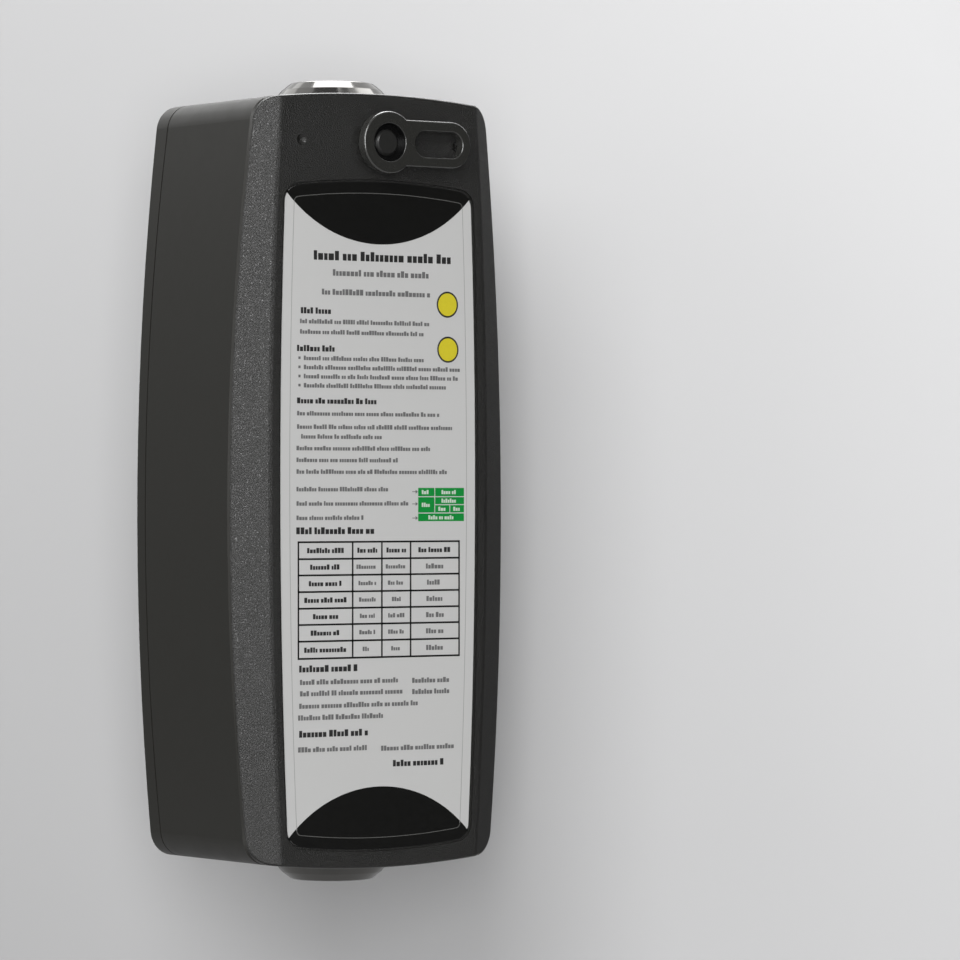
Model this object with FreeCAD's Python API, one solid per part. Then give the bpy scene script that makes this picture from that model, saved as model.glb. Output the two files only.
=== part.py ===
import FreeCAD, Part
import math
import os

from FreeCAD import Vector

# Portable electric vehicle charger: the control box that sits in a charging lead.
# Millimetres. The back, which carries the label and the swivelling holder, faces -Y.
# +Z runs up the long axis, and the origin is the centre of the box that holds it all.
# A depth is measured from the flat back face towards the front.

# Outer form
body_height = 240.0
half_width = 51.25
body_depth = 61.0
side_bow_radius = 1020.0
widest_z = -10.0
end_arch_radius = 350.0
corner_radius = 8.5
least_corner = 1.0
wall = 3.0
front_edge_chamfer = 1.2
rim_chamfer = 1.0

# Back cover: a flat face between two bevels
face_half_width = 40.8
face_bow_radius = 1700.0
parting_depth = 6.9
parting_bow_radius = 3960.0
cover_edge_land = 0.5
cover_edge_radius = 0.8
bevel_edge_radius = 2.5
back_wall = 3.0
bevel_wall = 4.4

# Front cover and the seams
seam_depth = 55.1
seam_gap = 0.5
front_wall = 3.0
lip_height = 3.0
lip_thickness = 1.4
lip_clearance = 0.15
seal_inset = 1.2
seal_width = 1.6

# Label in its pocket
pocket_depth = 0.8
pocket_half_width = 37.7
pocket_bow_radius = 2250.0
pocket_top_gap = 26.6
pocket_bottom_gap = 5.1
pocket_end_radius = 250.0
pocket_corner_radius = 6.0
label_margin = 1.0
label_thickness = 0.3

# Swivelling holder
pivot_drop = 15.3
arm_gap = 2.2
arm_thickness = 3.3
ring_radius = 9.65
arm_half_width = 7.25
arm_end_reach = 23.6
slot_start_reach = 13.7
slot_radius = 4.05
slot_chamfer = 0.3
counterbore_radius = 5.85
arm_floor = 0.9
arm_chamfer = 0.35
hub_radius = 7.4
hub_clearance = 0.05
shoulder_radius = 3.0
running_clearance = 0.05
pin_head_radius = 4.1
pin_head_height = 1.05
pin_head_chamfer = 0.7
shank_radius = 1.9
shank_length = 8.7
insert_radius = 3.2
insert_length = 6.0
insert_start = 1.6
insert_boss_wall = 2.4
detent_reach = 29.3
dimple_radius = 1.7
dimple_depth = 0.9
nub_radius = 1.1
nub_tip_radius = 0.6
nub_clearance = 0.2

# Round parts that lie inside the closed box have this many sides
round_sides = 24

# Cable entries, one at each end
entry_depth = 26.7
entry_bore_radius = 7.5
entry_height = 4.9
entry_base_radius = 17.6
entry_base_height = 1.0
entry_break_radius = 16.5
entry_break_height = 2.2
entry_rim_radius = 13.3
entry_seat_drop = 0.7
entry_seat_clearance = 0.3
entry_mouth_radius = 9.2
neck_radius = 11.0
neck_length = 14.0
neck_clearance = 0.2
nut_flat = 27.0
nut_height = 5.0
nut_clearance = 0.15
inner_pad_width = 33.0
inner_pad_height = 2.0
bush_clearance = 0.05
bush_recess = 0.6
bush_length = 15.0

# Pillars inside the sleeve: the power board lies on all six, held by two screws of its own
# at the middle pair and by the back cover's screws at the four others
post_x = 31.0
post_top_inset = 18.0
post_bottom_inset = 4.0
post_width = 8.0
post_length = 11.4
board_back_depth = 9.0

# Screws. Threads, and the holes that they are cut in, have eight sides
screw_radius = 1.5
screw_sides = 8
screw_seat_sides = 16
thread_clearance = 0.05
screw_clearance = 0.15
screw_head_radius = 2.7
screw_head_sides = 6
screw_head_height = 1.2
pillar_thread_depth = 5.4
tip_clearance = 0.5

# Lugs that take the front cover's screws
lug_drop = 24.0
lug_wall_gap = 6.2
lug_width = 8.0
lug_thickness = 3.0
lug_lip_gap = 0.6
lug_post_width = 6.4
blind_hole_floor = 0.5

# Display, lamps and control board behind the front cover
window_width = 74.0
window_height = 58.0
window_z = 34.0
window_corner = 5.0
window_thickness = 1.5
window_clearance = 0.15
view_width = 56.0
view_height = 40.0
display_border = 3.0
display_thickness = 4.0
display_clearance = 0.2
lamp_pitch = 15.0
lamp_window_gap = 19.0
lamp_radius = 2.4
lamp_clearance = 0.1
led_size = 3.0
led_height = 1.5
led_air_gap = 0.2
board_thickness = 1.6
board_corner = 2.0
control_half_width = 35.0
control_top_margin = 9.0
control_post_width = 6.0
control_post_inset = 4.0
chip_size = 10.0
chip_height = 1.2
chip_rise = 22.0
sensor_size = 3.0
sensor_height = 1.0
sensor_x = -18.0
sensor_drop = 2.0
buzzer_radius = 4.0
buzzer_height = 3.2
buzzer_gap = 1.6
buzzer_edge_gap = 2.0

# Power board and what stands on it
power_half_width = 38.0
power_top_gap = 21.0
power_bottom_gap = 15.0
terminal_length = 10.0
terminal_height = 14.0
terminal_way_width = 10.0
terminal_hole_width = 6.0
supply_ways = 3
output_ways = 4
terminal_edge_gap = 5.0
relay_x = 16.0
relay_terminal_gap = 18.0
relay_width = 28.0
relay_length = 34.0
relay_height = 24.0
relay_cap_inset = 1.0
relay_cap_height = 1.5
toroid_x = -12.0
toroid_z = -8.0
toroid_radius = 13.0
toroid_hole_radius = 6.5
toroid_length = 12.0
toroid_foot_width = 20.0
toroid_foot_height = 3.0
toroid_lift = 1.0
bar_size = 2.4
bar_pitch = 7.0
bar_overhang = 7.0
converter_drop = 54.0
converter_width = 26.0
converter_length = 28.0
converter_height = 18.0
choke_x = 20.0
choke_drop = 25.0
choke_radius = 10.5
choke_hole_radius = 4.5
choke_height = 12.0
film_x = -18.0
film_drop = 31.0
film_width = 20.0
film_length = 9.0
film_height = 14.0
can_x = -27.0
can_drops = (48.0, 60.0)
can_radius = 5.0
can_height = 18.0
fuse_x = -16.0
fuse_drop = 16.0
fuse_length = 20.0
fuse_radius = 2.6
fuse_clip_width = 3.0
fuse_lift = 1.0
varistor_x = 3.0
varistor_drop = 16.0
varistor_radius = 6.0
varistor_thickness = 4.0
varistor_leg = 1.0
varistor_leg_pitch = 7.0
link_x = 24.0
link_z = 10.0
link_width = 18.0
link_length = 6.0
link_height = 6.0
ribbon_width = 14.0
ribbon_thickness = 1.0
ribbon_bulge = 4.0

half_height = body_height / 2
far = half_height + half_width
pocket_top_z = half_height - pocket_top_gap
pocket_bottom_z = pocket_bottom_gap - half_height
pivot_z = half_height - pivot_drop
lug_z = half_height - lug_drop
back_y = arm_gap + arm_thickness - (body_depth + arm_gap + arm_thickness) / 2
entry_y = back_y + entry_depth
entry_seat_z = half_height - entry_seat_drop
nut_bore_radius = (neck_radius + nut_clearance) / math.cos(math.pi / round_sides)
entry_top_z = half_height + entry_height
arm_face_depth = -(arm_gap + arm_thickness)
arm_floor_depth = -(arm_gap + arm_floor)
hub_top_depth = hub_clearance - arm_gap
cover_screw_seat = pocket_depth + screw_head_height
front_inner_depth = body_depth - front_wall
display_depth = front_inner_depth - display_clearance - display_thickness
control_depth = display_depth - board_thickness
blind_hole_end = front_inner_depth - blind_hole_floor
lug_front_depth = seam_depth - lip_height - lug_lip_gap
lug_back_depth = lug_front_depth - lug_thickness
lamp_z = window_z - window_height / 2 - lamp_window_gap
buzzer_z = lamp_z - lamp_radius - buzzer_gap - buzzer_radius
control_top_z = window_z + window_height / 2 + control_top_margin
control_bottom_z = buzzer_z - buzzer_radius - buzzer_edge_gap
control_height = control_top_z - control_bottom_z
control_centre_z = (control_top_z + control_bottom_z) / 2
power_front_depth = board_back_depth + board_thickness
power_top_z = half_height - wall - power_top_gap
power_bottom_z = power_bottom_gap + wall - half_height
supply_terminal_z = power_top_z - terminal_edge_gap - terminal_length / 2
output_terminal_z = power_bottom_z + terminal_edge_gap + terminal_length / 2
relay_z = output_terminal_z + (terminal_length + relay_length) / 2 + relay_terminal_gap
fuse_z = supply_terminal_z - fuse_drop
varistor_z = supply_terminal_z - varistor_drop
choke_z = supply_terminal_z - choke_drop
film_z = supply_terminal_z - film_drop
converter_z = supply_terminal_z - converter_drop
toroid_y = back_y + power_front_depth + toroid_lift + toroid_radius
hole_radius = screw_radius + thread_clearance
pass_radius = screw_radius + screw_clearance
cover_screw_length = power_front_depth + pillar_thread_depth - cover_screw_seat
board_screw_length = board_thickness + pillar_thread_depth
lug_screw_length = blind_hole_end - tip_clearance - lug_back_depth
control_screw_length = blind_hole_end - tip_clearance - control_depth
cover_post_zs = (power_top_z - post_top_inset, power_bottom_z + post_bottom_inset)
cover_spots = [(sx * post_x, z) for sx in (-1, 1) for z in cover_post_zs]
board_spots = [(sx * post_x, sum(cover_post_zs) / 2) for sx in (-1, 1)]
post_spots = cover_spots + board_spots
control_post_x = control_half_width - control_post_inset
control_post_rise = control_height / 2 - control_post_inset
control_spots = [(sx * control_post_x, control_centre_z + sz * control_post_rise)
                 for sx in (-1, 1) for sz in (-1, 1)]
lamp_xs = [k * lamp_pitch for k in (-1, 0, 1)]


def depth_y(depth):
    """Y of a plane this deep behind the flat back face."""
    return back_y + depth


def cyl(radius, depth, length, x=0.0, z=0.0):
    """Cylinder along Y that starts at a depth and runs towards the front."""
    return Part.makeCylinder(radius, length, Vector(x, depth_y(depth), z), Vector(0, 1, 0))


def block(width, length, height, x, depth, z):
    """Block centred on x and z: width in X, length in Z, height in Y from a depth."""
    return Part.makeBox(width, height, length, Vector(x - width / 2, depth_y(depth), z - length / 2))


def many_sided(sides, radius, start, direction, length):
    """Prism whose section is a regular polygon with its corners on a radius."""
    turn = 2 * math.pi / sides
    across = Vector(1, 0, 0)
    if abs(direction.dot(across)) > 0.5:
        across = Vector(0, 0, 1)
    along = direction.cross(across)
    corners = [start + across * (radius * math.cos(k * turn)) + along * (radius * math.sin(k * turn))
               for k in range(sides)]
    return Part.Face(Part.makePolygon(corners + corners[:1])).extrude(direction * length)


def bore(sides, radius, depth, length, x, z):
    """Many-sided hole along Y that starts at a depth and runs towards the front."""
    return many_sided(sides, radius, Vector(x, depth_y(depth), z), Vector(0, 1, 0), length)


def fuse(shapes):
    """One solid from shapes that touch."""
    return shapes[0].multiFuse(shapes[1:]).removeSplitter()


def cut(shape, cutters):
    """Shape less every cutter."""
    return shape.cut(Part.makeCompound(cutters))


def span(edge, axis):
    """Length of an edge's box along an axis."""
    box = edge.BoundBox
    return getattr(box, axis + "Max") - getattr(box, axis + "Min")


def flat_at(thing, depth):
    """Whether an edge or a face lies flat at a depth."""
    y = depth_y(depth)
    return max(abs(thing.BoundBox.YMin - y), abs(thing.BoundBox.YMax - y)) < 1e-4


def edges_at(shape, depth):
    """Edges that lie flat at a depth."""
    return [e for e in shape.Edges if flat_at(e, depth)]


def rims_at(shape, depth):
    """Edges round the outside, and those round the holes, of the largest flat face at a depth."""
    face = max([f for f in shape.Faces if flat_at(f, depth)], key=lambda f: f.Area)
    holes = [e for w in face.Wires if not w.isSame(face.OuterWire) for e in w.Edges]
    return face.OuterWire.Edges, holes


def circles_meet(c1, r1, c2, r2, side):
    """Where two circles in the XZ plane meet, on one side of the line between their centres."""
    line = c2 - c1
    gap = line.Length
    along = (r1 * r1 - r2 * r2 + gap * gap) / (2 * gap)
    across = math.sqrt(r1 * r1 - along * along)
    unit = line.normalize()
    return c1 + unit * along + Vector(-unit.z, 0, unit.x) * (side * across)


def arc_between(centre, radius, start, end):
    """Arc in the XZ plane from the direction of start to that of end, the short way."""
    a = (start - centre).normalize()
    b = (end - centre).normalize()
    middle = (a + b).normalize()
    return Part.Arc(centre + a * radius, centre + middle * radius, centre + b * radius).toShape()


def joined(edges):
    """One closed wire from edges in any order."""
    return Part.Wire(Part.__sortEdges__(edges))


def barrel_outline(half_w, side_r, side_z, top_z, bottom_z, end_r, corner_r, depth):
    """Outline with bowed sides, arched ends and rounded corners, at a depth."""
    sides = {sx: Vector(sx * (half_w - side_r), 0, side_z) for sx in (-1, 1)}
    ends = {1: Vector(0, 0, top_z - end_r), -1: Vector(0, 0, bottom_z + end_r)}
    side_points, end_points, edges = {}, {}, []
    for sx in (-1, 1):
        for sz in (-1, 1):
            centre = circles_meet(sides[sx], side_r - corner_r, ends[sz], end_r - corner_r, sx * sz)
            side_points[sx, sz] = sides[sx] + (centre - sides[sx]).normalize() * side_r
            end_points[sx, sz] = ends[sz] + (centre - ends[sz]).normalize() * end_r
            edges.append(arc_between(centre, corner_r, side_points[sx, sz], end_points[sx, sz]))
    for s in (-1, 1):
        edges.append(arc_between(sides[s], side_r, side_points[s, 1], side_points[s, -1]))
        edges.append(arc_between(ends[s], end_r, end_points[1, s], end_points[-1, s]))
    wire = joined(edges)
    wire.translate(Vector(0, depth_y(depth), 0))
    return wire


def prism(wire, length):
    """Solid from a closed outline pushed towards the front."""
    return Part.Face(wire).extrude(Vector(0, length, 0))


def body_prism(inset, depth, length):
    """Box outline, drawn in by an inset, as a solid that starts at a depth."""
    wire = barrel_outline(half_width - inset, side_bow_radius - inset, widest_z,
                          half_height - inset, inset - half_height, end_arch_radius - inset,
                          max(corner_radius - inset, least_corner), depth)
    return prism(wire, length)


def bow(z):
    """How much shallower a parting line is at a height than at its deepest point."""
    return (z - widest_z) ** 2 / (2 * parting_bow_radius)


def bowed_slice(depth_from, depth_to):
    """Everything between two parting surfaces, both bowed about a cross axis."""
    def arc(depth):
        return Part.Arc(*[Vector(-far, depth_y(depth - bow(z)), z) for z in (-far, widest_z, far)])
    near, back = arc(depth_to).toShape(), arc(depth_from).toShape()
    ends = [Part.makeLine(back.Vertexes[k].Point, near.Vertexes[k].Point) for k in (0, 1)]
    return Part.Face(joined([near, back] + ends)).extrude(Vector(2 * far, 0, 0))


def rounded_plate(width, length, corner, thickness, x, depth, z):
    """Plate with rounded corners: width in X, length in Z, thickness from a depth."""
    plate = block(width, length, thickness, x, depth, z)
    return plate.makeFillet(corner, [e for e in plate.Edges if span(e, "Y") > thickness / 2])


def side_x(z):
    """Half width of the box at a height."""
    return half_width - side_bow_radius + math.sqrt(side_bow_radius ** 2 - (z - widest_z) ** 2)


def lug_spots():
    """Places of the four lugs, beside the side walls near the ends."""
    x = side_x(lug_z) - wall - lug_wall_gap
    return [(sx * x, sz * lug_z) for sx in (-1, 1) for sz in (-1, 1)]


def face_x(z):
    """Half width of the flat back face at a height."""
    return face_half_width - face_bow_radius + math.sqrt(face_bow_radius ** 2 - z ** 2)


def bevel_form(inset, depth):
    """Wedge between the two bevels, its narrow side on the back face, drawn in by an inset."""
    def wire(at_depth):
        def x_at(z):
            rise = at_depth / (parting_depth - cover_edge_land - bow(z))
            return face_x(z) + (side_x(z) - face_x(z)) * rise - inset
        right = [Vector(x_at(z), depth_y(at_depth), z) for z in (-half_height, 0, half_height)]
        left = [Vector(-p.x, p.y, p.z) for p in right]
        return joined([Part.Arc(*right).toShape(), Part.makeLine(right[2], left[2]),
                       Part.Arc(*left).toShape(), Part.makeLine(left[0], right[0])])
    return Part.makeLoft([wire(0.0), wire(depth)], True, True)


def bevelled_back():
    """Outside of the back cover: the box outline between its bevels, with softened edges."""
    form = body_prism(0, 0, parting_depth).common(bevel_form(0, parting_depth))
    face_edges = [e for e in edges_at(form, 0) if span(e, "Z") > half_height]
    form = form.makeFillet(bevel_edge_radius, face_edges)
    rim = depth_y(parting_depth) - 1e-3
    shortest = cover_edge_radius / 2
    outer = []
    for edge in form.Edges:
        beside_face = edge.BoundBox.YMax < depth_y(bevel_edge_radius) and span(edge, "Z") > half_height
        across = max(span(edge, "X"), span(edge, "Z")) > shortest
        if edge.BoundBox.YMin < rim and across and not beside_face:
            outer.append(edge)
    return form.makeFillet(cover_edge_radius, outer)


def pocket_outline(inset):
    """Outline of the label's pocket, drawn in by an inset."""
    return barrel_outline(pocket_half_width - inset, pocket_bow_radius - inset, 0.0,
                          pocket_top_z - inset, pocket_bottom_z + inset, pocket_end_radius - inset,
                          pocket_corner_radius - inset, 0)


def dimple(x):
    """Rounded dimple in the back face where the holder's nub comes to rest."""
    ball = (dimple_radius ** 2 + dimple_depth ** 2) / (2 * dimple_depth)
    return Part.makeSphere(ball, Vector(x, depth_y(dimple_depth - ball), pivot_z))


def make_back_cover():
    """Moulded back shell with its bevels, label pocket, holder hub and screw seats."""
    cavity = body_prism(wall, back_wall, parting_depth)
    cavity = cavity.common(bevel_form(bevel_wall, 2 * parting_depth))
    slice_to_rim = bowed_slice(-parting_depth, parting_depth - seam_gap / 2)
    cover = bevelled_back().cut(cavity).common(slice_to_rim)
    hub = cyl(hub_radius, hub_top_depth, back_wall - hub_top_depth, 0, pivot_z)
    boss_length = insert_start + insert_length - back_wall
    boss = cyl(insert_radius + insert_boss_wall, back_wall, boss_length, 0, pivot_z)
    foot_length = board_back_depth - back_wall
    feet = [block(post_width, post_width, foot_length, x, back_wall, z) for x, z in cover_spots]
    cutters = [prism(pocket_outline(0), pocket_depth)]
    cutters.append(cyl(shank_radius + running_clearance, -arm_gap, body_depth, 0, pivot_z))
    cutters.append(cyl(insert_radius + thread_clearance, insert_start, body_depth, 0, pivot_z))
    cutters += [dimple(sx * detent_reach) for sx in (-1, 1)]
    for x, z in cover_spots:
        cutters.append(bore(screw_seat_sides, screw_head_radius + screw_clearance, 0, cover_screw_seat, x, z))
        cutters.append(bore(screw_sides, pass_radius, 0, body_depth, x, z))
    return cut(fuse([cover, hub, boss] + feet), cutters)


def entry_cylinder(radius, z_from, z_to):
    """Cylinder on the axis of the cable entries between two heights."""
    return Part.makeCylinder(radius, z_to - z_from, Vector(0, entry_y, z_from))


def both_ends(make):
    """What a function gives for the top end, and its twin at the bottom end."""
    top = make()
    return [top, top.mirror(Vector(0, 0, 0), Vector(0, 0, 1))]


def from_side_wall(width, height, x, depth, z):
    """Pillar or lug that grows out of the nearest side wall and holds a screw at x and z."""
    reach = side_x(z) - wall / 2 - abs(x) + width / 2
    centre = math.copysign(abs(x) + (reach - width) / 2, x)
    return block(reach, width, height, centre, depth, z)


def make_main_housing():
    """Moulded sleeve with pillars, lugs and the seats of both cable entries."""
    back_rim = parting_depth + seam_gap / 2
    front_rim = seam_depth - seam_gap / 2
    sleeve = body_prism(0, 0, body_depth).common(bowed_slice(back_rim, front_rim))
    rim_y = depth_y(back_rim + rim_chamfer)
    sleeve = sleeve.makeChamfer(rim_chamfer, [e for e in sleeve.Edges if e.BoundBox.YMax < rim_y])
    sleeve = sleeve.cut(body_prism(wall, 0, body_depth))
    parts = [sleeve]
    parts += [from_side_wall(post_width, post_length, x, power_front_depth, z) for x, z in post_spots]
    parts += [from_side_wall(lug_width, lug_thickness, x, lug_back_depth, z) for x, z in lug_spots()]
    pad_z = half_height - wall - inner_pad_height
    pad_height = half_height - wall / 2 - pad_z
    pad_centre_z = pad_z + pad_height / 2
    parts += both_ends(lambda: block(inner_pad_width, pad_height, inner_pad_width,
                                     0, entry_depth - inner_pad_width / 2, pad_centre_z))
    cutters = [bore(screw_sides, hole_radius, power_front_depth, post_length, x, z) for x, z in post_spots]
    cutters += [bore(screw_sides, pass_radius, lug_back_depth, lug_thickness, x, z) for x, z in lug_spots()]
    cutters += both_ends(lambda: entry_cylinder(neck_radius + neck_clearance, pad_z - wall, far))
    seat_radius = entry_base_radius + entry_seat_clearance
    cutters += both_ends(lambda: entry_cylinder(seat_radius, entry_seat_z, far))
    return cut(fuse(parts), cutters)


def make_front_cover():
    """Moulded front shell with its lip, window seat, lamp holes and board posts."""
    cover = body_prism(0, 0, body_depth)
    cover = cover.makeChamfer(front_edge_chamfer, edges_at(cover, body_depth))
    cover = cover.common(bowed_slice(seam_depth + seam_gap / 2, body_depth + parting_depth))
    lip_outside = wall + lip_clearance
    lip_start = seam_depth - lip_height
    cover = fuse([cover, body_prism(lip_outside, lip_start, front_inner_depth - lip_start)])
    cover = cover.cut(body_prism(lip_outside + lip_thickness, 0, front_inner_depth))
    parts = [cover]
    for x, z in lug_spots():
        rise = front_inner_depth - lug_front_depth
        parts.append(block(lug_post_width, lug_post_width, rise, x, lug_front_depth, z))
    for x, z in control_spots:
        rise = front_inner_depth - display_depth
        parts.append(block(control_post_width, control_post_width, rise, x, display_depth, z))
    window_depth = body_depth - window_thickness
    view_depth = body_depth - display_depth
    window_seat = rounded_plate(window_width, window_height, window_corner, wall, 0, window_depth, window_z)
    view_hole = rounded_plate(view_width, view_height, board_corner, view_depth, 0, display_depth, window_z)
    cutters = [window_seat, view_hole]
    cutters += [cyl(lamp_radius + lamp_clearance, display_depth, body_depth, x, lamp_z) for x in lamp_xs]
    spots = lug_spots() + control_spots
    cutters += [bore(screw_sides, hole_radius, 0, blind_hole_end, x, z) for x, z in spots]
    return cut(fuse(parts), cutters)


def seal(depth):
    """Rubber seal in a seam, between the rims of two shells."""
    ring = body_prism(seal_inset, 0, body_depth).cut(body_prism(seal_inset + seal_width, 0, body_depth))
    return ring.common(bowed_slice(depth - seam_gap / 2, depth + seam_gap / 2))


def make_label():
    """Printed label, a thin sheet in its pocket."""
    label = prism(pocket_outline(label_margin), label_thickness)
    label.translate(Vector(0, pocket_depth - label_thickness, 0))
    return label


def arm_bar(half_w, reach_from, reach_to, depth, length):
    """Straight bar with round ends along X from the pivot."""
    middle = (reach_from + reach_to) / 2
    ends = [cyl(half_w, depth, length, reach, pivot_z) for reach in (reach_from, reach_to)]
    return fuse([block(reach_to - reach_from, 2 * half_w, length, middle, depth, pivot_z)] + ends)


def make_holder_arm():
    """Swivelling hanger: a ring on the pivot, a slotted tongue and a detent nub under its tip."""
    ring = cyl(ring_radius, arm_face_depth, arm_thickness, 0, pivot_z)
    arm = fuse([ring, arm_bar(arm_half_width, 0, arm_end_reach, arm_face_depth, arm_thickness)])
    slot = arm_bar(slot_radius, slot_start_reach, arm_end_reach, arm_face_depth, arm_thickness)
    counterbore = cyl(counterbore_radius, arm_face_depth, arm_thickness - arm_floor, 0, pivot_z)
    eye = cyl(shoulder_radius + running_clearance, arm_face_depth, arm_thickness, 0, pivot_z)
    arm = cut(arm, [slot, counterbore, eye])
    arm = arm.makeChamfer(arm_chamfer, rims_at(arm, arm_face_depth)[0])
    arm = arm.makeChamfer(slot_chamfer, rims_at(arm, arm_face_depth)[1])
    nub = Part.makeCone(nub_radius, nub_tip_radius, arm_gap - nub_clearance,
                        Vector(detent_reach, depth_y(-arm_gap), pivot_z), Vector(0, 1, 0))
    return fuse([arm, nub])


def make_pivot_pin():
    """Headed shoulder pin that the holder turns on."""
    head_seat = arm_floor_depth - hub_clearance
    head = cyl(pin_head_radius, head_seat - pin_head_height, pin_head_height, 0, pivot_z)
    head = head.makeChamfer(pin_head_chamfer, edges_at(head, head_seat - pin_head_height))
    shoulder = cyl(shoulder_radius, head_seat, hub_top_depth - head_seat, 0, pivot_z)
    shank = cyl(shank_radius, hub_top_depth, shank_length, 0, pivot_z)
    return fuse([head, shoulder, shank])


def make_pivot_insert():
    """Brass insert in the back cover that holds the pivot pin."""
    insert = cyl(insert_radius, insert_start, insert_length, 0, pivot_z)
    return insert.cut(cyl(shank_radius + thread_clearance, 0, body_depth, 0, pivot_z))


def turned(points):
    """Solid of revolution about the axis of the cable entries, from radius and height pairs."""
    places = [Vector(r, entry_y, z) for r, z in points]
    edges = [Part.makeLine(a, b) for a, b in zip(places, places[1:] + places[:1])]
    face = Part.Face(joined(edges))
    return face.revolve(Vector(0, entry_y, 0), Vector(0, 0, 1), 360)


def entry_prism(sides, radius, z_from, z_to):
    """Many-sided bar on the axis of the cable entries between two heights."""
    return many_sided(sides, radius, Vector(0, entry_y, z_from), Vector(0, 0, 1), z_to - z_from)


def make_entry_body():
    """Turned metal gland: a two-step cone outside the box and a threaded neck through its wall."""
    neck_end = entry_seat_z - neck_length
    cone = turned([(0, entry_top_z), (entry_rim_radius, entry_top_z),
                   (entry_break_radius, half_height + entry_break_height),
                   (entry_base_radius, half_height + entry_base_height),
                   (entry_base_radius, entry_seat_z), (0, entry_seat_z)])
    neck = entry_prism(round_sides, neck_radius, neck_end, entry_seat_z)
    return cut(fuse([cone, neck]), [entry_prism(round_sides, entry_mouth_radius, neck_end, entry_top_z)])


def make_entry_bush():
    """Rubber bush that grips the lead inside a gland."""
    top = entry_top_z - bush_recess
    bush = entry_prism(round_sides, entry_mouth_radius - bush_clearance, top - bush_length, top)
    return bush.cut(entry_cylinder(entry_bore_radius, 0, far))


def make_entry_nut():
    """Hexagonal locknut that holds a gland from inside the box."""
    top = half_height - wall - inner_pad_height
    nut = entry_prism(6, nut_flat / math.sqrt(3), top - nut_height, top)
    return nut.cut(entry_prism(round_sides, nut_bore_radius, top - nut_height, top))


def screw(depth, length, x, z):
    """Screw with a hexagonal head, driven towards the front, whose head seats at a depth."""
    head_start = Vector(x, depth_y(depth - screw_head_height), z)
    forward = Vector(0, 1, 0)
    head = many_sided(screw_head_sides, screw_head_radius, head_start, forward, screw_head_height)
    thread = many_sided(screw_sides, screw_radius, Vector(x, depth_y(depth), z), forward, length)
    return fuse([head, thread])


def screws(depth, length, spots):
    """Alike screws as separate solids."""
    return Part.makeCompound([screw(depth, length, x, z) for x, z in spots])


def board(half_w, height, centre_z, depth, spots):
    """Circuit board with its screw holes."""
    plate = rounded_plate(2 * half_w, height, board_corner, board_thickness, 0, depth, centre_z)
    return cut(plate, [bore(screw_sides, pass_radius, depth, board_thickness, x, z) for x, z in spots])


def on_power(width, length, height, x, z):
    """Block that stands on the power board's front side."""
    return block(width, length, height, x, power_front_depth, z)


def terminals(ways, z, sign):
    """Row of lead terminals: each way is open towards its end of the box."""
    body = on_power(ways * terminal_way_width, terminal_length, terminal_height, 0, z)
    depth = power_front_depth + (terminal_height - terminal_hole_width) / 2
    xs = [(k - (ways - 1) / 2) * terminal_way_width for k in range(ways)]
    return cut(body, [block(terminal_hole_width, terminal_length, terminal_hole_width, x, depth,
                            z + sign * terminal_length / 2) for x in xs])


def make_relays():
    """Two power relays that switch the lead."""
    relays = []
    for sx in (-1, 1):
        base = on_power(relay_width, relay_length, relay_height, sx * relay_x, relay_z)
        cap = block(relay_width - 2 * relay_cap_inset, relay_length - 2 * relay_cap_inset, relay_cap_height,
                    sx * relay_x, power_front_depth + relay_height, relay_z)
        relays.append(fuse([base, cap]))
    return Part.makeCompound(relays)


def make_leakage_sensor():
    """Ring core of the leakage sensor, standing on its foot."""
    start = Vector(toroid_x, toroid_y, toroid_z - toroid_length / 2)
    up = Vector(0, 0, 1)
    ring = many_sided(round_sides, toroid_radius, start, up, toroid_length)
    foot = on_power(toroid_foot_width, toroid_length, toroid_foot_height, toroid_x, toroid_z)
    return fuse([ring, foot]).cut(many_sided(round_sides, toroid_hole_radius, start, up, toroid_length))


def make_sensor_bars():
    """Two copper bars that carry the current through the leakage sensor's ring."""
    length = toroid_length + 2 * bar_overhang
    rise = toroid_y - depth_y(power_front_depth) + bar_size / 2
    bars = []
    for sx in (-1, 1):
        x = toroid_x + sx * bar_pitch / 2
        bar = on_power(bar_size, length, rise, x, toroid_z)
        bars.append(bar.cut(on_power(bar_size, length - 2 * bar_size, rise - bar_size, x, toroid_z)))
    return Part.makeCompound(bars)


def make_choke():
    """Ring core of the line choke, flat on the power board."""
    ring = bore(round_sides, choke_radius, power_front_depth, choke_height, choke_x, choke_z)
    return ring.cut(bore(round_sides, choke_hole_radius, power_front_depth, choke_height, choke_x, choke_z))


def make_capacitors():
    """One film capacitor and two electrolytic cans."""
    cans = [bore(round_sides, can_radius, power_front_depth, can_height, can_x, supply_terminal_z - drop)
            for drop in can_drops]
    return Part.makeCompound([on_power(film_width, film_length, film_height, film_x, film_z)] + cans)


def make_fuse():
    """Cartridge fuse in two clips."""
    start = Vector(fuse_x - fuse_length / 2, depth_y(power_front_depth + fuse_lift + fuse_radius), fuse_z)
    tube = many_sided(round_sides, fuse_radius, start, Vector(1, 0, 0), fuse_length)
    clip_x = (fuse_length - fuse_clip_width) / 2
    clips = [on_power(fuse_clip_width, 2 * fuse_radius, fuse_lift + fuse_radius, fuse_x + sx * clip_x, fuse_z)
             for sx in (-1, 1)]
    return fuse([tube] + clips)


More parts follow.
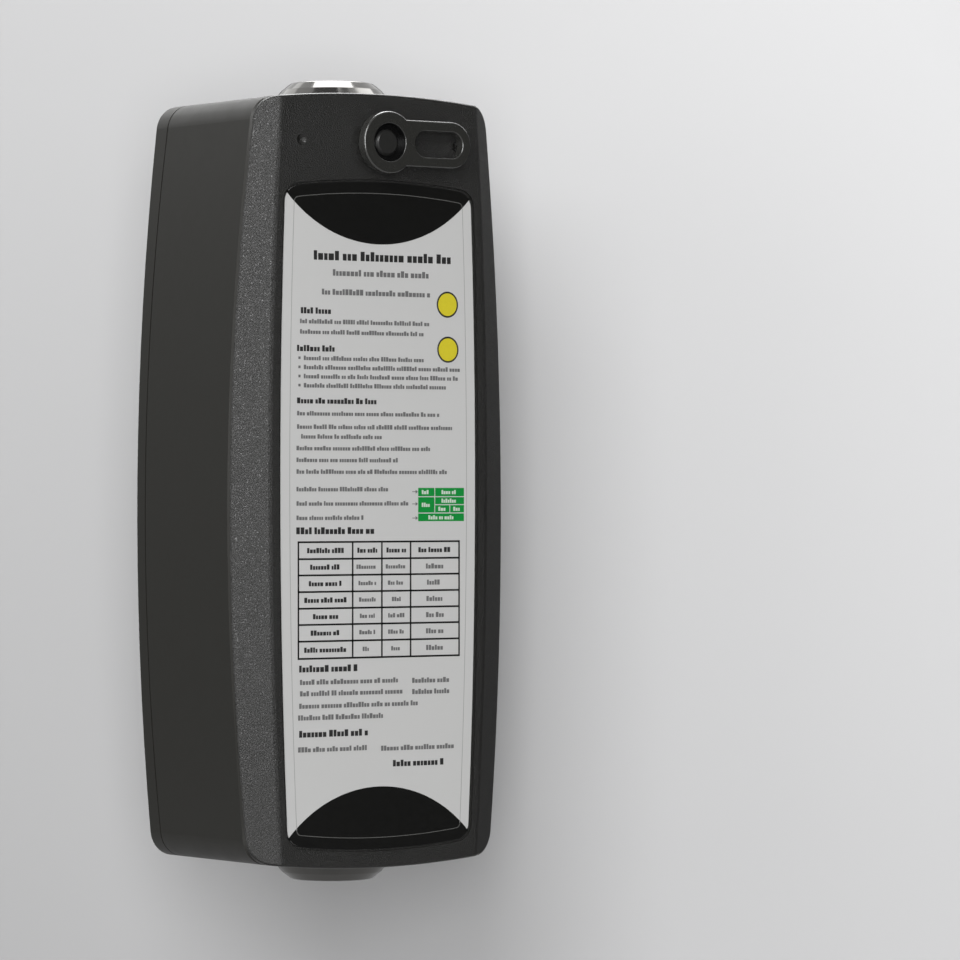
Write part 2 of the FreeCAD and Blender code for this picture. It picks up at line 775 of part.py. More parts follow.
def make_varistor():
    """Disc varistor on two legs."""
    start = Vector(varistor_x, depth_y(power_front_depth + varistor_leg + varistor_radius),
                   varistor_z - varistor_thickness / 2)
    disc = many_sided(round_sides, varistor_radius, start, Vector(0, 0, 1), varistor_thickness)
    legs = [on_power(varistor_leg, varistor_leg, varistor_radius, varistor_x + sx * varistor_leg_pitch / 2,
                     varistor_z) for sx in (-1, 1)]
    return fuse([disc] + legs)


def make_display_window():
    """Tinted window in its seat in the front cover."""
    width = window_width - 2 * window_clearance
    height = window_height - 2 * window_clearance
    corner = window_corner - window_clearance
    return rounded_plate(width, height, corner, window_thickness, 0, body_depth - window_thickness, window_z)


def make_control_board():
    """Board that carries the display, the lamps, the chip, the sensor and the buzzer."""
    return board(control_half_width, control_height, control_centre_z, control_depth, control_spots)


def make_power_board():
    """Board that carries the terminals, the relays and the supply parts."""
    centre_z = (power_top_z + power_bottom_z) / 2
    return board(power_half_width, power_top_z - power_bottom_z, centre_z, board_back_depth, post_spots)


def make_link_sockets():
    """Sockets of the ribbon that joins the two boards."""
    low = on_power(link_width, link_length, link_height, link_x, link_z)
    high = block(link_width, link_length, link_height, link_x, control_depth - link_height, link_z)
    return Part.makeCompound([low, high])


def make_ribbon():
    """Flat ribbon between the boards, bowed by its spare length."""
    start = power_front_depth + link_height
    end = control_depth - link_height
    x = link_x - ribbon_width / 2
    def arc(shift):
        ends = [Vector(x, depth_y(d), link_z + shift) for d in (start, end)]
        crest = Vector(x, depth_y((start + end) / 2), link_z + shift + ribbon_bulge)
        return Part.Arc(ends[0], crest, ends[1]).toShape()
    near, away = arc(-ribbon_thickness / 2), arc(ribbon_thickness / 2)
    sides = [Part.makeLine(near.Vertexes[k].Point, away.Vertexes[k].Point) for k in (0, 1)]
    return Part.Face(joined([near, away] + sides)).extrude(Vector(ribbon_width, 0, 0))


def save(name, shape):
    """Write one sub-part."""
    shape.exportStep("parts/" + name + ".step")


os.makedirs("parts", exist_ok=True)

save("back_cover", make_back_cover())
save("main_housing", make_main_housing())
save("front_cover", make_front_cover())
save("back_seal", seal(parting_depth))
save("front_seal", seal(seam_depth))
save("back_label", make_label())
save("holder_arm", make_holder_arm())
save("pivot_pin", make_pivot_pin())
save("pivot_insert", make_pivot_insert())

for piece, maker in (("gland", make_entry_body), ("bush", make_entry_bush), ("locknut", make_entry_nut)):
    for end, solid in zip(("supply", "output"), both_ends(maker)):
        save(end + "_" + piece, solid)

save("back_cover_screws", screws(cover_screw_seat, cover_screw_length, cover_spots))
save("power_board_screws", screws(board_back_depth, board_screw_length, board_spots))
save("front_cover_screws", screws(lug_back_depth, lug_screw_length, lug_spots()))
save("control_board_screws", screws(control_depth, control_screw_length, control_spots))

save("display_window", make_display_window())
save("display_module", block(view_width + 2 * display_border, view_height + 2 * display_border,
                             display_thickness, 0, display_depth, window_z))
save("status_leds", Part.makeCompound([block(led_size, led_size, led_height, x, display_depth, lamp_z)
                                       for x in lamp_xs]))
pipe_start = display_depth + led_height + led_air_gap
save("light_pipes", Part.makeCompound([cyl(lamp_radius, pipe_start, body_depth - pipe_start, x, lamp_z)
                                       for x in lamp_xs]))
save("control_board", make_control_board())
save("controller_chip", block(chip_size, chip_size, chip_height, 0, control_depth - chip_height,
                              control_centre_z + chip_rise))
save("shake_sensor", block(sensor_size, sensor_size, sensor_height, sensor_x, control_depth - sensor_height,
                           control_centre_z - sensor_drop))
save("buzzer", bore(round_sides, buzzer_radius, display_depth, buzzer_height, 0, buzzer_z))

save("power_board", make_power_board())
save("supply_terminals", terminals(supply_ways, supply_terminal_z, 1))
save("output_terminals", terminals(output_ways, output_terminal_z, -1))
save("relays", make_relays())
save("leakage_sensor", make_leakage_sensor())
save("sensor_bars", make_sensor_bars())
save("power_converter", on_power(converter_width, converter_length, converter_height, 0, converter_z))
save("line_choke", make_choke())
save("capacitors", make_capacitors())
save("fuse", make_fuse())
save("varistor", make_varistor())
save("link_sockets", make_link_sockets())
save("link_ribbon", make_ribbon())
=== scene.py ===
import math
import random

import bmesh
import bpy
from bpy.props import FloatProperty, FloatVectorProperty, IntProperty, PointerProperty
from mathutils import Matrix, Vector
from mathutils.geometry import tessellate_polygon


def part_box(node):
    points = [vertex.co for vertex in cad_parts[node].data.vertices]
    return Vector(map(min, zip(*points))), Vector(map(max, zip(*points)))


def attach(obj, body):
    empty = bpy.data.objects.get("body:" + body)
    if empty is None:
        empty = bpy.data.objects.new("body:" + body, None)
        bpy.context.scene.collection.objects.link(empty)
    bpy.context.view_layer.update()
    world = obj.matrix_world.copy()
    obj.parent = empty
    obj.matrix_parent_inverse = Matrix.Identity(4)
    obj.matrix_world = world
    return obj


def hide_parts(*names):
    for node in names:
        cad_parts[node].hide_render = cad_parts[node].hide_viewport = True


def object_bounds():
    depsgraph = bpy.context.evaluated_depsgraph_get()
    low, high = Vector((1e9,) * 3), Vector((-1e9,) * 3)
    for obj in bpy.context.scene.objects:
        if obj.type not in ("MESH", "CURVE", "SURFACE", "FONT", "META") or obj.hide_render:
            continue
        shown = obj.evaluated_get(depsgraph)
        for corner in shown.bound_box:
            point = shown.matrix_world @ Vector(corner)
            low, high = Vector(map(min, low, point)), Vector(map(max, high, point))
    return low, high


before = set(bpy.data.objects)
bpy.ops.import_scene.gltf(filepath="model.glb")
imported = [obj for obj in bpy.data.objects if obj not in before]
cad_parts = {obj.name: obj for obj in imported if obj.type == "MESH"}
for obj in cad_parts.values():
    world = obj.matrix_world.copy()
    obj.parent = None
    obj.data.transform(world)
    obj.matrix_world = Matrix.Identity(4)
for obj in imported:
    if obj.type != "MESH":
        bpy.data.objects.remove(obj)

bl_info = {
    "name": "Charging Control Box",
    "version": (1, 0, 0),
    "blender": (4, 5, 0),
    "location": "3D Viewport > Sidebar > Charger",
    "description": "Finishes, printed label and studio of a portable charging control box",
    "category": "Object",
}

MM = 0.001
CAD_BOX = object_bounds()
BODY = "box"
LABEL_LOW, LABEL_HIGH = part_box("back_label")
LABEL_FACE = LABEL_LOW.y
LABEL_THICKNESS = LABEL_HIGH.y - LABEL_LOW.y
UP = Vector((0, 0, 1))
WHITE = (1, 1, 1, 1)


def a_colour(name, text, value):
    """A colour that a user can change."""
    return FloatVectorProperty(name=name, description=text, default=value, min=0, max=1, subtype="COLOR")


def a_length(name, text, value):
    """A length that a user can change, in metres."""
    return FloatProperty(name=name, description=text, default=value, unit="LENGTH", precision=5)


def an_angle(name, text, degrees):
    """An angle that a user can change."""
    return FloatProperty(name=name, description=text, default=math.radians(degrees), subtype="ANGLE")


def a_number(name, text, value):
    """A number that a user can change. At a lamp's level 1, a white surface that faces it looks white."""
    return FloatProperty(name=name, description=text, default=value, min=0)


class ChargerShells(bpy.types.PropertyGroup):
    """Finish of the moulded shells."""
    smooth_colour: a_colour("Smooth plastic", "Colour of the sleeve and front cover", (0.022, 0.0215, 0.0185))
    texture_colour: a_colour("Textured plastic", "Colour of the back cover", (0.0115, 0.0112, 0.01))
    spark_size: a_length("Spark size", "Size of the moulded texture's grain", 0.00038)
    spark_depth: a_length("Spark depth", "Depth of the moulded texture's grain", 0.00008)
    satin_size: a_length("Satin size", "Size of the satin surface's grain", 0.00016)
    satin_depth: a_length("Satin depth", "Depth of the satin surface's grain", 0.000004)


class ChargerHolder(bpy.types.PropertyGroup):
    """Swivelling holder: its sizes, its softened edges and its colours."""
    thickness: a_length("Thickness", "Thickness of the ring and the tongue", 0.0033)
    ring_radius: a_length("Ring radius", "Outer radius of the ring", 0.00965)
    tongue_half: a_length("Tongue half width", "Half width of the tongue", 0.00725)
    tongue_reach: a_length("Tongue reach", "From the pivot to the middle of the tongue's round end", 0.0236)
    slot_start: a_length("Slot start", "From the pivot to the middle of the slot's near end", 0.0137)
    slot_radius: a_length("Slot radius", "Half width of the slot", 0.00405)
    bore_radius: a_length("Counterbore radius", "Radius of the pin's counterbore", 0.00585)
    eye_radius: a_length("Eye radius", "Radius of the eye that turns on the pin", 0.00305)
    floor: a_length("Floor", "Thickness of the counterbore's floor", 0.0009)
    nub_reach: a_length("Nub reach", "From the pivot to the nub under the tip", 0.0293)
    nub_radius: a_length("Nub radius", "Radius of the nub at its root", 0.0011)
    nub_tip: a_length("Nub tip", "Radius of the nub's tip", 0.0006)
    nub_edge: a_length("Nub edge", "Rounding of the nub's tip", 0.00024)
    outer_edge: a_length("Outer edge", "Radius of the outer front edge", 0.0006)
    inner_edge: a_length("Inner edge", "Radius of the front edges of the slot and counterbore", 0.00042)
    back_edge: a_length("Back edge", "Radius of the back edges", 0.00025)
    coat_weight: a_number("Coat", "How strongly the clear top coat shines", 0.9)
    coat_colour: a_colour("Lacquer", "Colour of the holder's lacquer", (0.027, 0.027, 0.0245))
    # The counterbore's inside is painted near black: painted shade in the recess round the pin
    bore_painted_shade: a_colour("Inside", "Colour of the counterbore's inside", (0.004, 0.004, 0.004))
    pin_colour: a_colour("Pin", "Colour of the blackened pin", (0.022, 0.022, 0.021))


class ChargerEntries(bpy.types.PropertyGroup):
    """Cable glands: their turned form and their colour."""
    base_radius: a_length("Base radius", "Radius of the gland's foot", 0.0176)
    base_height: a_length("Base height", "Height of the foot over the box's end", 0.00045)
    seat_depth: a_length("Seat depth", "How deep the foot lies in the box's end", 0.0007)
    break_radius: a_length("Break radius", "Radius where the two cones meet", 0.0157)
    break_height: a_length("Break height", "Height of that place over the box's end", 0.0026)
    rim_radius: a_length("Rim radius", "Outer radius of the flat rim", 0.0128)
    mouth_radius: a_length("Mouth radius", "Radius of the gland's mouth", 0.0092)
    mouth_chamfer: a_length("Mouth chamfer", "Chamfer of the mouth's edge", 0.0004)
    neck_radius: a_length("Neck radius", "Radius of the threaded neck", 0.011)
    thread_pitch: a_length("Thread pitch", "Pitch of the neck's thread", 0.0015)
    thread_depth: a_length("Thread depth", "Depth of the neck's thread", 0.0006)
    edge_radius: a_length("Edge radius", "Radius of the turned edges", 0.00015)
    rim_edge: a_length("Rim edge", "Radius of the rim's outer edge", 0.0015)
    metal_colour: a_colour("Plated metal", "Colour of the glands", (0.160, 0.157, 0.150))


class ChargerLabel(bpy.types.PropertyGroup):
    """Printed label: its outline and its colours."""
    half_width: a_length("Half width", "Half width of the film at its middle", 0.0367)
    side_radius: a_length("Side radius", "Radius of the film's bowed sides", 2.249)
    top: a_length("Top", "Height of the film's highest point", 0.0924)
    bottom: a_length("Bottom", "Height of the film's lowest point", -0.1139)
    end_radius: a_length("End radius", "Radius of the film's arched ends", 0.249)
    corner_radius: a_length("Corner radius", "Radius of the film's corners", 0.005)
    top_cap_low: a_length("Top cap", "Lowest point of the dark top field", 0.0733)
    top_cap_end: a_length("Top cap end", "Height where the dark top field meets the sides", 0.0889)
    bottom_cap_high: a_length("Bottom cap", "Highest point of the dark bottom field", -0.0948)
    bottom_cap_end: a_length("Bottom cap end", "Height where the dark bottom field meets the sides", -0.1098)
    ink_thickness: a_length("Ink thickness", "How far the print stands on the film", 0.00003)
    # The dark sheet round the film is painted shade in the groove between the film and the pocket's wall
    groove_shade_margin: a_length("Glue margin", "How far the dark glue sheet shows round the film", 0.00028)
    line_inset: a_length("Line inset", "Distance of the thin line from the film's edge", 0.0032)
    line_width: a_length("Line width", "Width of the thin line round the film", 0.00022)
    rule_width: a_length("Rule width", "Width of the table's rules", 0.00056)
    film_colour: a_colour("Film", "Colour of the film", (0.63, 0.63, 0.622))
    field_colour: a_colour("Fields", "Colour of the dark fields", (0.006, 0.006, 0.0055))
    heading_colour: a_colour("Headings", "Colour of the headings and rules", (0.028, 0.028, 0.028))
    text_colour: a_colour("Lines", "Colour of the bars that stand for lines", (0.16, 0.16, 0.16))
    line_colour: a_colour("Thin line", "Colour of the thin line on the light film", (0.40, 0.40, 0.395))
    field_line_colour: a_colour("Field line", "Colour of that line on the dark fields", (0.12, 0.12, 0.115))
    light_colour: a_colour("Light print", "Colour of the bars on the block of cells", (0.62, 0.72, 0.62))
    spot_colour: a_colour("Spots", "Colour of the two round spots", (0.72, 0.62, 0.03))
    cell_colour: a_colour("Cells", "Colour of the block of cells", (0.004, 0.29, 0.045))
    seed: IntProperty(name="Seed", description="Seed of the bars' lengths", default=5)


class ChargerStage(bpy.types.PropertyGroup):
    """Camera, floor, backdrop and the level of each lamp."""
    camera_place: FloatVectorProperty(name="Camera place", description="Where the camera stands",
                                      default=(-0.8740, -1.2834, -0.00328), subtype="TRANSLATION",
                                      unit="LENGTH")
    camera_turn: an_angle("Camera turn", "Turn of the view to the right of +Y", 36.0)
    camera_rise: an_angle("Camera rise", "Rise of the view above the horizon", 0.1317)
    camera_lens: a_number("Lens", "Focal length in millimetres", 184.94)
    backdrop_gap: a_length("Backdrop gap", "Distance of the backdrop behind the box's centre", 0.1)
    backdrop_reach: a_length("Backdrop reach", "Half the side of the backdrop", 0.45)
    backdrop_colour: a_colour("Backdrop", "Colour of the backdrop", (0.645, 0.645, 0.65))
    # The backdrop's fade is painted light falloff: darker towards the lower left, lighter towards the upper
    # right
    backdrop_painted_fade: a_number("Backdrop fade", "How much the backdrop fades to one corner", 0.31)
    backdrop_slant: a_number("Backdrop slant", "How steep the fade is: 0 goes straight across", 0.72)
    fade_reach: a_length("Fade reach", "Half the length that the fade takes", 0.3)
    floor_drop: a_length("Floor drop", "Distance of the floor below the box", 0.24)
    floor_size: a_length("Floor size", "Side of the floor", 16.0)
    floor_colour: a_colour("Floor", "Colour that the floor throws back", (0.25, 0.25, 0.252))
    floor_seen: a_colour("Floor seen", "Colour of the floor as it is seen", (0.36, 0.36, 0.363))
    floor_glow: a_number("Floor glow", "How much lighter the floor looks than its colour", 0.2)
    flag_distance: a_length("Flag distance", "Distance of the dark flag that the label mirrors", 1.0)
    flag_turn: an_angle("Flag turn", "Turn of the dark flag to the right of the label's side", 57.0)
    flag_width: a_length("Flag width", "Width of the dark flag", 2.6)
    flag_height: a_length("Flag height", "Height of the dark flag", 1.2)
    sky_level: a_number("Sky", "Even light from all round", 0.25)
    horizon_level: a_number("Horizon", "How light the studio's far wall looks", 0.6)
    key_lamp: a_number("Key lamp", "Light of the lamp at the upper left", 0.5)
    front_lamp: a_number("Front lamp", "Light of the lamp behind the camera", 0.47)
    side_lamp: a_number("Side lamp", "Light of the lamp at the left", 0.1)
    top_lamp: a_number("Top lamp", "Light of the lamp above and behind", 0.75)
    top_glow: a_number("Top glow", "Light of the wide, weaker lamp round the top lamp", 0.38)
    edge_lamp: a_number("Edge lamp", "Light of the strip that the upper rim mirrors", 0.33)
    right_lamp: a_number("Right lamp", "Light of the lamp that the right bevel mirrors", 0.04)
    rear_lamp: a_number("Rear lamp", "Light of the lamp that the upper left corner mirrors", 0.14)


# Each lamp's turn to the left of the label's side and its rise, in degrees, then its distance from the
# box, its width and its height, in metres
LAMPS = {
    "key_lamp": (49, 30, 2.0, 1.1, 1.1),
    "front_lamp": (34.5, 0, 2.3, 0.7, 1.2),
    "side_lamp": (95, 10, 1.5, 0.8, 0.8),
    "top_lamp": (216, 62, 1.1, 0.54, 0.9),
    "top_glow": (216, 54, 1.25, 1.6, 1.6),
    "edge_lamp": (-94.86, 53.586, 1.2, 0.3, 1.5),
    "right_lamp": (-98.973, 0, 1.5, 1.0, 1.4),
    "rear_lamp": (164, 34, 1.3, 1.0, 0.8),
}


class Nodes:
    """Short ways to build a tree of nodes."""

    def __init__(self, tree):
        self.tree = tree

    def give(self, node, *values, **named):
        """Sets a node's inputs, by place or by name: each takes a value or another node's output."""
        for key, value in (*enumerate(values), *named.items()):
            socket = node.inputs[key.replace("_", " ") if isinstance(key, str) else key]
            if isinstance(value, bpy.types.NodeSocket):
                self.tree.links.new(value, socket)
            else:
                socket.default_value = value
        return node

    def node(self, kind, *values, operation=None, **named):
        """A new node with its inputs set."""
        made = self.tree.nodes.new(kind)
        if operation:
            made.operation = operation
        return self.give(made, *values, **named)

    def math(self, operation, *values):
        """The result of a calculation with factors and numbers."""
        return self.node("ShaderNodeMath", *values, operation=operation).outputs["Value"]

    def ranged(self, factor, given, wanted):
        """A factor spread from one range over another, and held within it."""
        made = self.node("ShaderNodeMapRange", Value=factor, From_Min=given[0], From_Max=given[1],
                         To_Min=wanted[0], To_Max=wanted[1])
        return made.outputs["Result"]

    def step(self, factor, border, low, high, blur=0.1 * MM):
        """A factor that goes from a low to a high value over a narrow border."""
        return self.ranged(factor, (border - blur, border + blur), (low, high))

    def seen(self):
        """1 for what is seen by itself or through something clear, and 0 for what only gives light."""
        path = self.node("ShaderNodeLightPath").outputs
        return self.math("MAXIMUM", path["Is Camera Ray"], path["Is Transmission Ray"])


class Finish(Nodes):
    """A procedural material that reads Object coordinates, and short ways to build it."""

    def __init__(self, name, colour, roughness, metallic=0.0, **sockets):
        self.material = bpy.data.materials.new(name)
        self.material.use_nodes = True
        super().__init__(self.material.node_tree)
        self.shader = self.tree.nodes["Principled BSDF"]
        self.colour = tuple(colour)
        self.give(self.shader, Base_Color=(*colour, 1), Roughness=roughness, Metallic=metallic, **sockets)
        self.place = self.node("ShaderNodeTexCoord").outputs["Object"]

    def noise(self, size, detail=3.0, rough=0.6, stretch=None):
        """Noise whose lumps are about a size in metres, and may be stretched along the axes."""
        place = self.place
        if stretch:
            place = self.node("ShaderNodeMapping", place, Scale=stretch).outputs["Vector"]
        made = self.node("ShaderNodeTexNoise", Vector=place, Scale=1 / size, Detail=detail, Roughness=rough)
        return made.outputs["Fac"]

    def rim(self):
        """How far the surface is turned between the label's side and an end, as on end rims alone."""
        facing = self.node("ShaderNodeNewGeometry").outputs["True Normal"]
        split = self.node("ShaderNodeSeparateXYZ", facing).outputs
        return self.math("ABSOLUTE", self.math("MULTIPLY", split["Y"], split["Z"]))

    def reach(self, centre, axes):
        """Distance from a place, along the axes that are marked with 1."""
        offset = self.node("ShaderNodeVectorMath", self.place, centre, operation="SUBTRACT").outputs["Vector"]
        kept = self.node("ShaderNodeVectorMath", offset, axes, operation="MULTIPLY").outputs["Vector"]
        return self.node("ShaderNodeVectorMath", kept, operation="LENGTH").outputs["Value"]

    def two_colours(self, factor, first, second):
        """Lets the colour go from one to another, after a factor."""
        mix = self.tree.nodes.new("ShaderNodeMix")
        mix.data_type = "RGBA"
        self.give(mix, Factor=factor, A=first, B=second)
        self.give(self.shader, Base_Color=mix.outputs["Result"])
        return self

    def second_colour(self, factor, colour):
        """Lets the colour so far give way to another one, after a factor."""
        before = self.shader.inputs["Base Color"].links[0].from_socket
        return self.two_colours(factor, before, (*colour, 1))

    def tint(self, factor, spread):
        """Lets the colour go lighter and darker by a share, after a factor."""
        dark, light = [[min(1, c * share) for c in self.colour] + [1] for share in (1 - spread, 1 + spread)]
        return self.two_colours(factor, dark, light)

    def gloss(self, factor, low, high):
        """Lets the roughness go between two values, after a factor."""
        self.give(self.shader, Roughness=self.ranged(factor, (0.3, 0.7), (low, high)))
        return self

    def bump(self, height, depth):
        """Raises the surface by up to a depth in metres, after a height."""
        made = self.node("ShaderNodeBump", Strength=1.0, Distance=depth, Height=height)
        self.give(self.shader, Normal=made.outputs["Normal"])
        return self


def satin_plastic(sizes):
    """Smooth moulded plastic of the sleeve and the front cover."""
    made = Finish("satin_plastic", sizes.smooth_colour, 0.42)
    made.tint(made.noise(sizes.satin_size * 2, 2), 0.10)
    made.gloss(made.noise(0.006, 4), 0.39, 0.45)
    return made.bump(made.noise(sizes.satin_size, 2), sizes.satin_depth)


def spark_plastic(sizes):
    """Plastic of the back cover, moulded with a fine spark texture that leaves its end rims polished."""
    made = Finish("spark_plastic", sizes.texture_colour, 0.4, Specular_IOR_Level=0.75)
    grain = made.ranged(made.noise(sizes.spark_size, 2), (0.38, 0.62), (0, 1))
    made.tint(grain, 0.65)
    rim = made.ranged(made.rim(), (0.08, 0.3), (0, 1))
    fading = made.math("MULTIPLY", grain, made.ranged(rim, (0, 1), (1, 0)))
    polish = made.ranged(rim, (0, 1), (0.31, 0.22))
    made.give(made.shader, Roughness=made.math("MULTIPLY_ADD", fading, 0.18, polish))
    return made.bump(fading, sizes.spark_depth)


def moulded(name, colour, roughness):
    """Plain moulded plastic or rubber with a fine grain."""
    made = Finish(name, colour, roughness)
    made.tint(made.noise(0.004), 0.08)
    made.gloss(made.noise(0.002), roughness - 0.04, roughness + 0.05)
    return made.bump(made.noise(0.0004), 0.000008)


def plated(name, colour, roughness):
    """Metal with fine tool marks round the turning axis."""
    made = Finish(name, colour, roughness, 1.0)
    made.tint(made.noise(0.003), 0.06)
    made.gloss(made.noise(0.0011), roughness - 0.03, roughness + 0.05)
    return made.bump(made.noise(0.004, 4, stretch=(1, 1, 30)), 0.000003)


def turned_metal(name, colour, foot):
    """Bright turned metal whose foot, within a height of the middle, is left matt."""
    made = Finish(name, colour, 0.1, 1.0)
    made.tint(made.noise(0.003), 0.06)
    made.give(made.shader, Roughness=made.step(made.reach((0, 0, 0), UP), foot, 0.5, 0.1))
    return made.bump(made.noise(0.004, 4, stretch=(1, 1, 30)), 0.0000012)


def coated_metal(name, colour, roughness, coat):
    """Black lacquer on metal, with a clear top coat that draws thin lights along the edges."""
    made = Finish(name, colour, roughness, Coat_Weight=coat, Coat_Roughness=0.1, Coat_IOR=1.9)
    made.tint(made.noise(0.0009), 0.12)
    made.gloss(made.noise(0.0012), roughness - 0.02, roughness + 0.03)
    return made.bump(made.noise(0.00045, 2), 0.000004)


def smoked_window(name, low, high, border):
    """Smoked glossy window: the display's field shows dimly within its black border."""
    made = Finish(name, (0.022, 0.027, 0.026), 0.09, Coat_Weight=0.3)
    made.tint(made.noise(0.004, 2), 0.08)
    middle, half = (low + high) / 2, (high - low) / 2
    across = made.step(made.reach(middle, (1, 0, 0)), half.x - border, 0, 1)
    up = made.step(made.reach(middle, UP), half.z - border, 0, 1)
    made.second_colour(made.math("MAXIMUM", across, up), (0.006, 0.006, 0.007))
    return made.bump(made.noise(0.02, 1), 0.000002)


def circuit_board(name, colour):
    """Green board whose tracks stand out a little under the mask."""
    made = Finish(name, colour, 0.32)
    upright = made.node("ShaderNodeMapping", made.place, Rotation=(math.radians(90), 0, 0)).outputs["Vector"]
    tracks = made.node("ShaderNodeTexBrick", upright, Scale=160, Mortar_Size=0.03).outputs["Fac"]
    made.tint(tracks, 0.35)
    return made.bump(tracks, 0.00003)


def inked(name, colour):
    """Printing ink on the label's film."""
    made = Finish(name, colour, 0.35)
    made.tint(made.noise(0.0006, 2), 0.06)
    return made.gloss(made.noise(0.0015, 2), 0.31, 0.40)


def label_film(colour):
    """Satin film that the label is printed on."""
    made = Finish("label_film_finish", colour, 0.38)
    made.tint(made.noise(0.02, 2), 0.012)
    made.gloss(made.noise(0.003), 0.34, 0.42)
    return made.bump(made.noise(0.0008, 2), 0.000004)


def dress(finish, *nodes):
    """Gives pieces of the frame their finish."""
    for node in nodes:
        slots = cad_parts[node].data.materials
        for k in range(len(slots)):
            slots[k] = finish.material


def add_object(name, data):
    """A new object in the scene."""
    made = bpy.data.objects.new(name, data)
    bpy.context.scene.collection.objects.link(made)
    return made


def filled_mesh(fill, name):
    """A closed mesh that a function fills, with its faces outwards."""
    shape = bmesh.new()
    fill(shape)
    bmesh.ops.recalc_face_normals(shape, faces=shape.faces)
    mesh = bpy.data.meshes.new(name)
    shape.to_mesh(mesh)
    shape.free()
    return mesh


def place_piece(mesh, name, finish, body=BODY):
    """A finished mesh as a piece that rides on a body."""
    mesh.name = name
    mesh.materials.clear()
    mesh.materials.append(finish.material)
    piece = add_object(name, mesh)
    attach(piece, body)
    return piece


def settled(holder, name, finish, body=BODY):
    """The result of an object's modifiers as a plain mesh, which takes the object's place."""
    holder.update_tag()
    bpy.context.view_layer.update()
    result = holder.evaluated_get(bpy.context.evaluated_depsgraph_get())
    mesh = bpy.data.meshes.new_from_object(result)
    holder.modifiers.clear()
    bpy.data.objects.remove(holder)
    return place_piece(mesh, name, finish, body)


def softened(fill, name, finish, body=BODY):
    """A filled closed mesh as a smooth piece whose flat faces stay flat."""
    mesh = filled_mesh(fill, name)
    mesh.shade_smooth()
    mesh.set_sharp_from_angle(angle=math.radians(32))
    holder = add_object(name + "_raw", mesh)
    weighted = holder.modifiers.new("flat_faces", "WEIGHTED_NORMAL")
    weighted.keep_sharp = True
    weighted.weight = 90
    return settled(holder, name, finish, body)


BAR_SIZES = ("bar_width", "bar_height")


def bars_tree():
    """Nodes that stand a flat bar on every point, sized by the point's attributes."""
    made = Nodes(bpy.data.node_groups.new("printed_bars", "GeometryNodeTree"))
    for name, way, kind in (("Points", "INPUT", "Geometry"), ("Ink thickness", "INPUT", "Float"),
                            ("Ink", "INPUT", "Material"), ("Bars", "OUTPUT", "Geometry")):
        made.tree.interface.new_socket(name, in_out=way, socket_type="NodeSocket" + kind)
    given = made.node("NodeGroupInput").outputs
    width, height = [made.node("GeometryNodeInputNamedAttribute", Name=name).outputs["Attribute"]
                     for name in BAR_SIZES]
    size = made.node("ShaderNodeCombineXYZ", width, given["Ink thickness"], height).outputs["Vector"]
    bar = made.node("GeometryNodeMeshCube").outputs["Mesh"]
    stand = made.node("GeometryNodeInstanceOnPoints", Points=given["Points"], Instance=bar, Scale=size)
    real = made.node("GeometryNodeRealizeInstances", stand.outputs["Instances"])
    ink = made.node("GeometryNodeSetMaterial", Geometry=real.outputs["Geometry"], Material=given["Ink"])
    made.node("NodeGroupOutput", ink.outputs["Geometry"])
    return made.tree


def print_bars(name, bars, ink, thickness, layer=0):
    """Flat printed bars: each is its middle x and z, its width and its height, in millimetres."""
    y = LABEL_FACE - thickness * (0.5 + layer)
    mesh = bpy.data.meshes.new(name)
    mesh.from_pydata([(x * MM, y, z * MM) for x, z, _, _ in bars], [], [])
    for k, attribute in enumerate(BAR_SIZES, 2):
        values = mesh.attributes.new(attribute, "FLOAT", "POINT")
        values.data.foreach_set("value", [bar[k] * MM for bar in bars])
    points = add_object(name + "_points", mesh)
    tree = bpy.data.node_groups.get("printed_bars") or bars_tree()
    modifier = points.modifiers.new("bars", "NODES")
    modifier.node_group = tree
    inputs = {s.name: s.identifier for s in tree.interface.items_tree if s.in_out == "INPUT"}
    modifier[inputs["Ink thickness"]] = thickness
    modifier[inputs["Ink"]] = ink.material
    return settled(points, name, ink)


def arc_points(centre, radius, start, end, steps):
    """Points along a flat arc, from one angle to another."""
    turns = [start + (end - start) * k / steps for k in range(steps + 1)]
    return [(centre[0] + radius * math.cos(t), centre[1] + radius * math.sin(t)) for t in turns]


def circle_outline(centre, radius, steps=72):
    """Closed round outline."""
    return arc_points(centre, radius, 0, 2 * math.pi * (1 - 1 / steps), steps - 1)


def side_reach(sizes, z, inset=0.0):
    """Distance from the middle to the film's bowed side at a height, drawn in by an inset."""
    radius = sizes.side_radius - inset
    return sizes.half_width - sizes.side_radius + math.sqrt(radius * radius - z * z)


def film_end(sizes, inset, sign, steps=24):
    """The film's top or bottom edge with its corners, from the right: sign is 1 at the top, -1 below."""
    side_centre = sizes.half_width - sizes.side_radius
    end_centre = (sizes.top if sign > 0 else sizes.bottom) - sign * sizes.end_radius
    side, end = sizes.side_radius - inset, sizes.end_radius - inset
    corner = max(sizes.corner_radius - inset, 0.3 * sizes.corner_radius)
    gap = math.hypot(side_centre, end_centre)
    r1, r2 = side - corner, end - corner
    along = (r1 * r1 - r2 * r2 + gap * gap) / (2 * gap)
    off = math.sqrt(r1 * r1 - along * along)
    across, up = -side_centre / gap, end_centre / gap
    cx = side_centre + across * along - sign * up * off
    cz = up * along + sign * across * off
    end_turn = math.atan2(cz - end_centre, cx)
    quarter = arc_points((cx, cz), corner, math.atan2(cz, cx - side_centre), end_turn, steps)
    crown = arc_points((0, end_centre), end, end_turn, sign * math.pi - end_turn, 2 * steps)
    return quarter + crown[1:-1] + [(-x, z) for x, z in reversed(quarter)]


